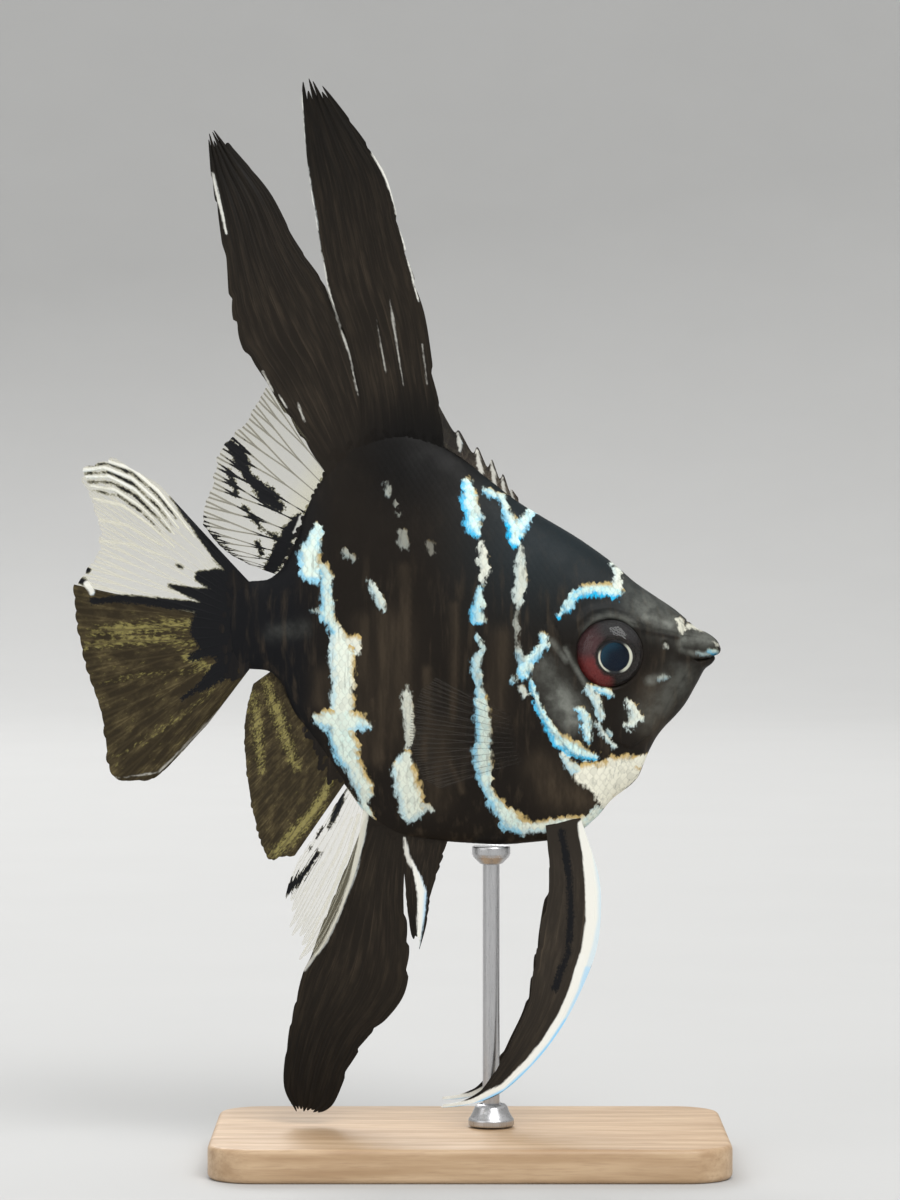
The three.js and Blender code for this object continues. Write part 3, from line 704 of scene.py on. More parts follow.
# Painted shade about the tall fin's foot: its centre, how far off it starts to fade and where it
# is gone, in millimetres, and how much it darkens at most.
PAINTED_SHADE_AT = {"x": -8.0, "z": 105.0, "near": 3.0, "far": 13.0, "most": 0.85}


def painted_fin_foot_shade(where, tint):
    """Painted shade: the skin darkens towards black about the foot of the tall fin."""
    centre = (PAINTED_SHADE_AT["x"] * MM, 0, PAINTED_SHADE_AT["z"] * MM)
    away = where.place_sum("DISTANCE", centre, "Value")
    deep = away.ramp(PAINTED_SHADE_AT["near"] * MM, PAINTED_SHADE_AT["far"] * MM, PAINTED_SHADE_AT["most"], 0.0)
    return deep.blend(tint, TIP_BLACK_AND_PAINTED_SHADE)


def marbled(name, scaly):
    """Black, grey and pearl skin, with painted shade about the tall fin's foot; its scales also
    carry growth rings and painted shade at their rims.
    """
    finish = Finish(name)
    where = finish.where
    forward, height = where.part("X"), where.part("Z")
    upright = where.stretched(1, 1, 0.12)
    streak = upright.noise(1.1, 4.0)

    nape = height.ramp(*NAPE_UP) * forward.ramp(*NAPE_FORWARD)
    rear = forward.ramp(*TAIL_BACK)
    ground = rear.blend(nape.blend(COAL, NAPE), INK)
    browned = finish.stored("brown") * streak.ramp(0.3, 0.7, 0.4, 1.0)
    faint = streak.ramp(0.48, 0.78, 0.0, 0.55) * height.ramp(*PLAIN_UP, 1.0, 0.15)
    ground = browned.most(faint).blend(ground, UMBER)
    grey = finish.stored("grey") * where.noise(1.5, 5.0).ramp(0.3, 0.7, 0.4, 1.0)
    # Painted shade about the tall fin's foot darkens the crest.
    ground = painted_fin_foot_shade(where, grey.blend(ground, SLATE))

    edge = finish.stored("pale") + (where.wobble(0.5, 1.5, (1, 1, 0.4)) + where.wobble(2.4, 1.0))
    marked = edge.ramp(-0.22, 0.3) * finish.stored("might")
    rim = edge.ramp(0.3, 1.2, 1.0, 0.0)
    above, blue = finish.stored("above"), finish.stored("blue")
    shimmer = where.noise(1.0, 3.0).ramp(0.42, 0.7)
    core = (blue * (shimmer * 0.3 + 0.7)).blend(BONE, PEARL)
    low = above.ramp(0.25, -0.4) * rim
    azure = (low * blue).most(shimmer * rim * (blue * 0.7))
    high = above.ramp(0.25, 0.9) * rim
    pale = (high * 0.85).blend(azure.blend(core, AZURE), AMBER)
    worn = upright.noise(0.5, 4.0).ramp(0.5, 0.76, 0.0, 0.6)
    worn = worn.most(finish.stored("own").ramp(0.7, 1.0, 0.0, 0.2))
    tint = marked.blend(ground, worn.blend(pale, SLATE))

    grain = where.noise(0.16, 2.0)
    if scaly:
        reach = finish.stored("on_scale", "Vector").length()
        # Painted shade: each scale darkens towards its rim, where it meets the next, more so on
        # pale marks.
        shade = (streak * 0.5 + reach).ramp(0.92, 1.22) * (marked * 0.1 + 0.05)
        tint = shade.blend(tint, COAL)
        grain = (reach * 38.0).sum("SINE") * 0.08 + grain
    rough = where.noise(3.2, 4.0).ramp(0.25, 0.75, 0.38, 0.52)
    return finish.surface({"Base Color": tint, "Roughness": rough, "Specular IOR Level": 0.09},
                          grain, 0.25, 0.035)


# Each fork of a ray: half its gap in shares of the spacing, and where it starts and ends.
FORKS = ((0.24, 0.3, 0.8), (0.115, 0.7, 1.0))


def ray_lines(lane, along):
    """1 on a fin ray, 0 between them."""
    value = lane.sum("FRACT") - 0.5
    for gap, start, end in FORKS:
        value = (value.sum("ABSOLUTE") - along.ramp(start, end) * gap).sum("ABSOLUTE")
    return value.ramp(0.015, 0.085, 1.0, 0.0)


def fin_finish(name, look):
    """Fin skin: dark or see-through between its rays, with pale marks and painted shade about
    the tall fin's foot.
    """
    finish = Finish(name)
    where, along = finish.where, finish.stored("along")
    lane = finish.stored("across") * look["rays"]
    ray = ray_lines(lane, along)
    fin_way = add_node(finish.tree, "ShaderNodeCombineXYZ", 0, {"X": lane, "Y": along * 4.0})
    streak = fin_way.grain(1.6, 5.0, 0.65)
    ragged = (streak * 2.4 - 1.2 + where.wobble(0.7, 0.9)) * look["ragged"]
    marked = (ragged * 0.35 + finish.stored("pale")).ramp(-0.1, 0.2) * finish.stored("might")
    speck = (fin_way.grain(7.0, 4.0, 0.6) - 0.5) * (look["speck"] * 4.5)
    edge = 0.35 + 0.3 * look["speck"]
    clear = (ragged + speck + finish.stored("clear")).ramp(-edge, edge)
    patchy = streak.ramp(0.42, 0.74)
    outward = along.ramp(0.03, 0.22)
    rib = (ray * (patchy * 0.75 + 0.12)).most(patchy * 0.5) * (outward * look["streaks"])
    # Painted shade about the tall fin's foot.
    dark = painted_fin_foot_shade(where, rib.blend(look["ground"], look["streak"]))
    # Most fins turn blacker towards their tips.
    dark = along.ramp(0.45, 0.95, 0.0, look["tip"]).blend(dark, TIP_BLACK_AND_PAINTED_SHADE)
    light = (ray * 0.8).blend(look["glass"], look["glass_ray"])
    fleck = (ray * look["bleed"] + where.wobble(0.3, 1.6)) * look["ragged"]
    black = (finish.stored("black") + (ragged + fleck)).ramp(-0.2, 0.25)
    body = black.blend(clear.blend(dark, light), INK)
    cool = finish.stored("above").ramp(0.0, -0.6).blend(FIN_GLINT, FIN_BLUE)
    pale = finish.stored("blue").blend(FIN_WHITE, cool)
    see = ray.ramp(0.0, 1.0, look["glass_alpha"], look["ray_alpha"])
    veil = clear.between(look["ground_alpha"], see).most(marked.most(black))
    milky_to, milkiness = look["foot"]
    veil = veil.most(along.ramp(0.0, milky_to, milkiness, 0.0))
    return finish.surface({"Base Color": marked.blend(body, pale), "Alpha": veil,
                           "Roughness": streak.ramp(0.2, 0.8, 0.42, 0.58),
                           "Specular IOR Level": 0.11}, ray * outward, 0.3, 0.05)


# ------------------------------------------------------------------ skin

def skin_stations(count):
    """Distances forward of the skin's rings, closer together towards the lips."""
    x = np.linspace(TAIL_X, NOSE_X, 4000)
    density = 1 + 1.6 * ease(x, 6, 11) + 4.5 * ease(x, 32, 36)
    reach = np.concatenate([[0], np.cumsum(density[:-1])])
    return np.interp(np.linspace(0, reach[-1], count), reach, x)


def make_skin(material):
    turns, steps = SKIN_MESH
    skin, down, turn = ball("skin", turns, steps)
    ring = np.rint(down * steps).astype(int)
    turn = np.rint(turn / (2 * math.pi) * turns).astype(int) % turns
    quarters = np.arange(turns) * 4 / turns
    share = np.interp(quarters, [0, 1, 3, 4], [0, 1, -1, 0])
    side = np.where((quarters <= 1) | (quarters > 3), LEFT, RIGHT)
    xs = skin_stations(steps + 1)
    y, z, _ = rings(xs, share)
    x = np.repeat(xs[:, None], turns, axis=1)
    wrapped = [np.concatenate([a[:, -2:], a, a[:, :2]], axis=1) for a in (x, y * side, z)]
    normal = normals_of(*wrapped)[:, 2:-2]
    points = np.stack([x, y * side, z], axis=-1) + normal * relief(x, z)[..., None]
    spots = points[steps - ring, turn]
    ends = ring % steps == 0
    spots[ends] = points[steps - ring[ends]].mean(axis=1)
    place(skin, spots)
    face_outward(skin)
    smooth(skin)
    store(skin, body_marks(spots[:, 0], spots[:, 2], np.sign(spots[:, 1])))
    finish_piece(skin, material, "body_skin", "head", "lower_jaw", "gill_cover_right",
                 "gill_cover_left", "trunk", "tail_peduncle")


# ------------------------------------------------------------------ scales

RIM = 12
TRUNK_SCALE = {"pitch": 1.0, "row": 0.8, "lift": 0.036, "rear": TAIL_X + 2.2, "front": 24}
HEAD_SCALE = {"pitch": 0.78, "row": 0.62, "lift": 0.02, "rear": 7, "front": 28}
SHEATH_SCALE = {"pitch": 0.8, "row": 0.64, "lift": 0.028}
# How much scales vary in size, place, tilt and paleness.
VARY = {"size": 0.1, "place": 0.1, "tilt": 0.25, "pale": 0.14}
# How much a scale's marks come from its root rather than from where it lies.
ROOT_SHARE = 0.2
# Shares of the pitch and of the row: half length, half width, and how far back it sits.
PLATE = (0.86, 0.99, 0.12)
# A scale's height from its root back to its free end, in shares of its lift.
PLATE_SLOPE = ([-0.74, -0.3, 0.98], [-0.9, 0.0, 0.9])
PLATE_CROWN = {"shoulder": 0.66, "shoulder_rise": 0.3, "middle_rise": 0.34, "underside": -0.9}
# Each scale's own patch in the bake's map: the body's length by its height in millimetres.
BAKE_MAP = {"length": 0.46, RIGHT: 0.02, LEFT: 0.52, "height": 74, "patch": 0.0014}
SHEATH_MAP_DROP = 36
# How far scales keep from the body's edges and from the cheek's fold.
MARGIN = 0.35
FARTHEST_ARC = 40


def scale_template():
    """One scale about its root: rearward u, sideways v, lift h, and its triangles."""
    angles = np.arange(RIM) * 2 * math.pi / RIM
    rim = np.stack([PLATE[0] * np.cos(angles), PLATE[1] * np.sin(angles)], axis=-1)
    middle = [PLATE[2], 0.0]
    flat = np.concatenate([rim + middle, rim * PLATE_CROWN["shoulder"] + middle,
                           [middle, middle]])
    lift = np.interp(flat[:, 0], *PLATE_SLOPE)
    lift[RIM:2 * RIM] += PLATE_CROWN["shoulder_rise"]
    lift[2 * RIM] += PLATE_CROWN["middle_rise"]
    lift[2 * RIM + 1] = PLATE_CROWN["underside"]
    faces = []
    for k in range(RIM):
        n = (k + 1) % RIM
        faces += [(k, n, RIM + n), (k, RIM + n, RIM + k), (RIM + k, RIM + n, 2 * RIM),
                  (n, k, 2 * RIM + 1)]
    return flat, lift, np.array(faces)


def scale_rows(zone, keep):
    """Roots of the scales as (forward, arc from the flank line)."""
    columns = np.arange(int((zone["front"] - zone["rear"]) / zone["pitch"]) + 1)
    last_row = int(FARTHEST_ARC / zone["row"])
    roots = []
    for row in range(-last_row, last_row + 1):
        x = zone["rear"] + (columns + 0.5 * (row % 2)) * zone["pitch"]
        arc = np.full(len(x), row * zone["row"])
        low, high = arcs_at(x)
        fits = np.where(arc > 0, arc < high - MARGIN, arc > MARGIN - low)
        fits &= keep(x, look_up(map_z, x, share_at(x, arc)))
        roots.append(np.stack([x[fits], arc[fits]], axis=-1))
    return np.concatenate(roots)


def behind_gills(x, z):
    gill, side = near_line(x, z, GILL_OPENING)
    return (side < 0) & (gill > 0.1)


def on_cheeks(x, z):
    cheek, _ = near_line(x, z, CHEEK_GROOVE)
    snout = 27.2 - 0.12 * np.abs(z - 76)
    clear_of_eye = from_spot(x, z, ORBIT) > ORBIT["radius"] + 1.1
    return ~behind_gills(x, z) & clear_of_eye & (x < snout) & (cheek > MARGIN)


def lay_out(mesh, roots, local, side):
    """Each scale's own small patch of the bake's map, at its root's place on the body."""
    forward = (roots[:, 0] - TAIL_X) / (NOSE_X - TAIL_X)
    u = forward * BAKE_MAP["length"] + BAKE_MAP[side]
    v = 0.5 + roots[:, 1] / BAKE_MAP["height"]
    patch = np.stack([u, v], axis=-1)[:, None, :] + local[None] * BAKE_MAP["patch"]
    layer = mesh.uv_layers.new(name="OFBake")
    corner = np.empty(len(mesh.loops), int)
    mesh.loops.foreach_get("vertex_index", corner)
    layer.data.foreach_set("uv", patch.reshape(-1, 2)[corner].ravel())


def join_scales(name, points, roots, marks, side, material):
    """One mesh of many scales from their corner points."""
    flat, _, faces = scale_template()
    count = len(roots)
    triangles = (faces[None] + (np.arange(count) * len(flat))[:, None, None]).reshape(-1, 3)
    if side < 0:
        triangles = triangles[:, ::-1]
    mesh = bpy.data.meshes.new(name)
    mesh.from_pydata((points.reshape(-1, 3) * MM).tolist(), [], triangles.tolist())
    scales = bpy.data.objects.new(name, mesh)
    bpy.context.collection.objects.link(scales)
    smooth(scales, SHARP["scales"])
    local = (flat - [PLATE[2], 0]) / PLATE[:2]
    on_scale = np.pad(local, ((0, 0), (0, 1)))
    store(scales, {**marks, "on_scale": np.tile(on_scale, (count, 1))})
    lay_out(mesh, roots, local, side)
    finish_piece(scales, material, "body_skin")


def varied(share, count, values=1):
    """Random amounts about zero, share from the least to the most."""
    return share * (random.random((count, values)) - 0.5)


def make_scales(name, zone, roots, side, material):
    flat, lift, _ = scale_template()
    count = len(roots)
    size = 1 + varied(VARY["size"], count)
    roots = roots + varied(VARY["place"] * zone["row"], count, 2)
    x = np.clip(roots[:, :1] - flat[None, :, 0] * zone["pitch"] * size, MAP_X[0], MAP_X[-1])
    share = share_at(x, roots[:, 1:] + flat[None, :, 1] * zone["row"] * size)
    tilt = 1 + varied(VARY["tilt"], count)
    points = skin_points(x, share, side, lift[None, :] * zone["lift"] * tilt)
    root_z = look_up(map_z, roots[:, 0], share_at(*roots.T))[:, None]
    mark_x = points[..., 0] * (1 - ROOT_SHARE) + roots[:, :1] * ROOT_SHARE
    mark_z = points[..., 2] * (1 - ROOT_SHARE) + root_z * ROOT_SHARE
    marks = body_marks(mark_x.ravel(), mark_z.ravel(), side)
    marks["pale"] += np.repeat(random.normal(0, VARY["pale"], count), len(flat))
    marks["own"] = np.repeat(random.random(count), len(flat))
    join_scales(name, points, roots, marks, side, material)


# ------------------------------------------------------------------ fins

def through(points):
    """A smooth curve through the points, as a function of the share of its length."""
    p = np.array(points, float)
    padded = np.concatenate([[2 * p[0] - p[1]], p, [2 * p[-1] - p[-2]]])
    dense = []
    for i in range(len(p) - 1):
        t = np.linspace(0, 1, 40, endpoint=i == len(p) - 2)[:, None]
        a, b, c, d = padded[i:i + 4]
        dense.append(0.5 * (2 * b + (c - a) * t + (2 * a - 5 * b + 4 * c - d) * t ** 2
                            + (3 * b - a - 3 * c + d) * t ** 3))
    dense = np.concatenate(dense)
    reach = lengths_along(dense)
    reach /= reach[-1]
    return lambda share: np.stack([np.interp(share, reach, dense[:, k]) for k in (0, 1)], -1)


def blend_lines(start, end, share):
    return start * (1 - share[..., None]) + end * share[..., None]


def between_edges(front, rear):
    lead, trail = through(front), through(rear)
    return lambda along, across: blend_lines(lead(along), trail(along), across)


def along_rays(root, margin):
    start, end = through(root), through(margin)
    return lambda along, across: blend_lines(start(across), end(across), along)


def bow(reach):
    """Sideways sway that grows towards the tip."""
    return lambda along, across: reach * along ** 2


PALE_FIN_MARKS = [
    (0.3, 0.95, [(-7.6, 127.4, 0.12), (-8.9, 132.6, 0.18), (-10.3, 138.4, 0.2),
                 (-11.6, 143.4, 0.22), (-12.7, 146.2, 0.22), (-14.4, 149.2, 0.2)]),
    (0.4, 0.9, [(-24.8, 158.0, 0.2), (-24.5, 152.2, 0.2), (-24.1, 147.2, 0.3),
                (-23.4, 142.8, 0.25), (-22.7, 138.5, 0.3), (-22.1, 134.6, 0.2)]),
    (0.2, 0.8, [(-22.1, 134.6, 0.2), (-21.0, 129.5, 0.25), (-19.5, 124.7, 0.15),
                (-17.8, 119.7, 0.15), (-16.4, 113.3, 0.1)]),
    (0.1, 0.5, [(-11.8, 127.7, 0.1), (-10.9, 122.0, 0.15), (-9.8, 114.8, 0.1)]),
    (0.0, 0.45, [(-13.8, 124.8, 0.1), (-12.4, 116.9, 0.1)]),
    (0.0, 0.4, [(-7.0, 121.0, 0.1), (-6.2, 115.0, 0.1)]),
    (0.3, 0.8, [(-38.1, 146.4, 0.15), (-37.4, 143.4, 0.3), (-36.5, 139.8, 0.22),
                 (-36.0, 137.4, 0.15)]),
    (0.0, 0.6, [(-30.6, 117.0, 0.15), (-29.0, 114.0, 0.2)]),
    (0.0, 0.6, [(-28.2, 113.4, 0.15), (-27.0, 111.6, 0.2)]),
    (0.0, 0.5, [(-25.4, 112.2, 0.1), (-24.4, 109.6, 0.15)]),
    (0.6, 0.6, [(-24.6, 95.2, 0.7), (-25.6, 93.2, 0.5)]),
    (0.6, 1.0, [(-8.6, 44.6, 0.3), (-7.7, 42.2, 0.55), (-7.0, 39.8, 0.75), (-7.2, 36.6, 0.6),
                (-7.4, 34.0, 0.4), (-7.6, 31.8, 0.25)]),
    (0.0, 0.8, [(1.9, 100.8, 0.4), (1.4, 103.4, 0.4), (1.0, 105.6, 0.2)]),
    (0.0, 0.75, [(3.7, 100.2, 0.4), (3.5, 102.0, 0.35), (3.1, 103.8, 0.15)]),
    (0.0, 0.7, [(5.1, 98.8, 0.35), (4.8, 101.6, 0.15)]),
    (0.0, 0.6, [(6.4, 98.0, 0.3), (6.1, 99.5, 0.15)]),
    (0.4, 0.7, [(-1.8, 107.9, 0.2), (-1.5, 106.6, 0.4), (-1.4, 105.4, 0.3)]),
    (0.2, 0.8, [(-9.6, 48.0, 0.2), (-9.3, 45.6, 0.4), (-8.6, 44.0, 0.4)]),
    (0.2, 0.6, [(-15.2, 52.6, 0.5), (-16.0, 47.6, 0.5), (-17.4, 42.0, 0.4), (-19.2, 37.0, 0.3),
                (-21.4, 32.4, 0.3), (-24.6, 28.2, 0.2)]),
    (0.1, 0.5, [(-16.4, 51.4, 0.3), (-18.0, 45.6, 0.35), (-20.2, 40.4, 0.3), (-22.2, 36.0, 0.25),
                (-24.8, 30.6, 0.15)]),
    (0.1, 0.35, [(-17.4, 51.0, 0.25), (-19.6, 45.6, 0.3), (-22.0, 40.8, 0.25),
                 (-25.0, 34.6, 0.15)]),
    (0.1, 0.25, [(-17.8, 52.0, 0.2), (-21.2, 45.2, 0.25), (-24.4, 40.0, 0.2)]),
    (0.3, 0.95, [(-56.6, 85.6, 0.5), (-55.8, 84.4, 0.5)]),
    (0.3, 0.9, [(-57.2, 103.2, 0.25), (-54.4, 104.0, 0.3), (-50.0, 102.6, 0.3),
                (-46.2, 99.4, 0.3), (-43.2, 95.8, 0.2), (-40.6, 92.4, 0.1)]),
    (0.5, 0.95, [(-57.4, 102.4, 0.3), (-54.0, 102.8, 0.3), (-50.0, 101.2, 0.28),
                 (-46.2, 97.8, 0.25), (-43.0, 93.8, 0.15)]),
    (0.8, 0.95, [(-56.8, 101.4, 0.25), (-53.4, 101.5, 0.28), (-49.6, 99.6, 0.26),
                 (-46.2, 96.3, 0.22), (-43.6, 92.8, 0.12)]),
    (0.6, 0.85, [(-56.2, 100.1, 0.22), (-52.4, 99.5, 0.26), (-48.6, 97.0, 0.24),
                 (-45.0, 93.4, 0.1)]),
    (0.2, 0.6, [(-55.6, 98.2, 0.25), (-51.4, 97.2, 0.3), (-47.4, 94.4, 0.25),
                (-43.6, 91.0, 0.15)]),
    (0.0, 0.4, [(-55.4, 95.2, 0.3), (-50.6, 94.2, 0.3), (-45.4, 91.2, 0.2)]),
    (0.0, 0.35, [(-55.0, 92.0, 0.3), (-50.0, 91.4, 0.3), (-44.4, 89.4, 0.2)]),
    (0.1, 0.5, [(-52.7, 56.7, 0.12), (-46.1, 57.6, 0.16), (-38.9, 64.9, 0.16),
                (-34.4, 69.8, 0.1)]),
    (0.3, 1.0, [(16.8, 50.0, 0.9), (17.9, 45.6, 1.3), (18.6, 40.0, 1.5), (18.6, 36.0, 1.5),
                (17.8, 32.0, 1.3), (17.0, 29.4, 1.1)]),
    (0.6, 1.0, [(17.2, 30.4, 1.2), (15.7, 25.6, 1.1), (13.8, 21.6, 0.95)]),
    (0.9, 1.0, [(13.8, 21.6, 0.95), (11.4, 18.0, 0.85), (8.8, 14.9, 0.75), (5.0, 11.4, 0.6),
                (0.4, 9.2, 0.5), (-4.3, 8.6, 0.4)]),
]
DARK_FIN_MARKS = [
    [(-35.8, 107.0, 0.5), (-34.2, 104.6, 1.1), (-32.8, 101.6, 0.8), (-30.4, 99.2, 1.2),
     (-28.2, 97.0, 0.9)],
    [(-35.6, 102.4, 0.5), (-34.4, 99.0, 0.5)],
    [(-33.4, 97.0, 0.3), (-30.6, 93.6, 0.4), (-28.2, 92.2, 0.5)],
    [(-31.4, 91.8, 0.4), (-30.8, 90.0, 0.3)],
    [(-25.0, 95.6, 0.7), (-26.6, 93.2, 1.1), (-28.6, 89.0, 1.3), (-30.4, 86.6, 1.0)],
    [(-32.3, 79.5, 7.2), (-35.7, 79.4, 5.4), (-38.4, 79.0, 3.0)],
    [(-34.0, 84.6, 3.0), (-37.4, 86.2, 1.8), (-39.8, 86.6, 1.0)],
    [(-38.0, 83.6, 1.4), (-41.6, 84.4, 0.8), (-44.4, 85.4, 0.3)],
    [(-33.1, 86.0, 1.5), (-36.7, 89.7, 1.3), (-40.3, 94.2, 1.0), (-44.0, 98.6, 0.5)],
    [(-38.6, 82.0, 0.9), (-46.0, 82.9, 0.8), (-52.0, 83.4, 0.6), (-56.0, 83.0, 0.3)],
    [(-37.0, 76.0, 1.2), (-41.0, 74.8, 0.5)],
    [(-36.0, 73.4, 1.4), (-39.4, 70.6, 0.8), (-42.6, 68.6, 0.3)],
    [(-56.4, 103.0, 0.16), (-53.6, 103.4, 0.2), (-49.8, 101.9, 0.2), (-46.0, 98.6, 0.18),
     (-43.4, 95.2, 0.14)],
    [(-56.8, 101.9, 0.14), (-53.4, 102.1, 0.2), (-49.8, 100.4, 0.24), (-46.2, 97.0, 0.22),
     (-43.8, 94.0, 0.12)],
    [(-56.4, 100.7, 0.16), (-53.0, 100.6, 0.26), (-49.2, 98.4, 0.26), (-46.0, 95.2, 0.2),
     (-44.2, 93.2, 0.1)],
    [(-55.8, 99.4, 0.12), (-52.0, 98.6, 0.2), (-48.4, 96.2, 0.18), (-45.6, 93.2, 0.1)],
    [(-58.8, 88.4, 0.3), (-56.4, 87.6, 0.4)],
    [(-58.0, 86.2, 0.4), (-57.0, 85.9, 0.5)],
    [(-57.2, 89.6, 0.2), (-55.8, 89.0, 0.3)],
    [(-43.4, 88.4, 0.2), (-42.6, 88.0, 0.3)],
    [(-27.4, 39.8, 0.5), (-26.0, 41.2, 0.7), (-24.2, 43.2, 0.4), (-22.4, 45.8, 0.3)],
    [(-20.8, 49.6, 0.3), (-19.4, 52.6, 0.5), (-18.4, 55.6, 0.4)],
    [(-24.4, 47.4, 0.1), (-23.6, 46.6, 0.2)],
    [(-22.6, 48.2, 0.1), (-21.8, 49.6, 0.1)],
    [(13.6, 49.0, 0.5), (14.8, 42.0, 0.5), (14.9, 36.0, 0.5), (14.4, 31.0, 0.5),
     (12.6, 26.0, 0.5)],
]
CLEAR_FIN_MARKS = [
    [(-30.2, 71.1, 0.2), (-28.8, 67.2, 0.5), (-27.2, 62.9, 0.5), (-25.8, 58.6, 0.3)],
    [(-32.2, 69.3, 0.2), (-31.6, 65.8, 0.4), (-31.3, 62.5, 0.4), (-30.8, 58.0, 0.1)],
    [(-20.6, 56.6, 0.2), (-22.6, 52.4, 0.6), (-25.0, 49.6, 0.7), (-28.6, 45.8, 0.5)],
    [(-56.0, 78.4, 0.1), (-51.4, 78.9, 0.5), (-46.5, 79.2, 0.5), (-41.6, 79.6, 0.3)],
    [(-57.0, 76.4, 0.1), (-52.0, 77.0, 0.1), (-44.1, 77.4, 0.2), (-41.0, 76.8, 0.1)],
    [(-42.4, 75.4, 0.1), (-40.2, 73.8, 0.2), (-38.6, 73.2, 0.1)],
    [(-55.0, 71.0, -0.4), (-46.0, 72.4, -0.3), (-40.0, 72.8, -0.2)],
    [(-52.0, 60.0, -0.4), (-44.0, 65.0, -0.3), (-38.0, 70.0, -0.3)],
]

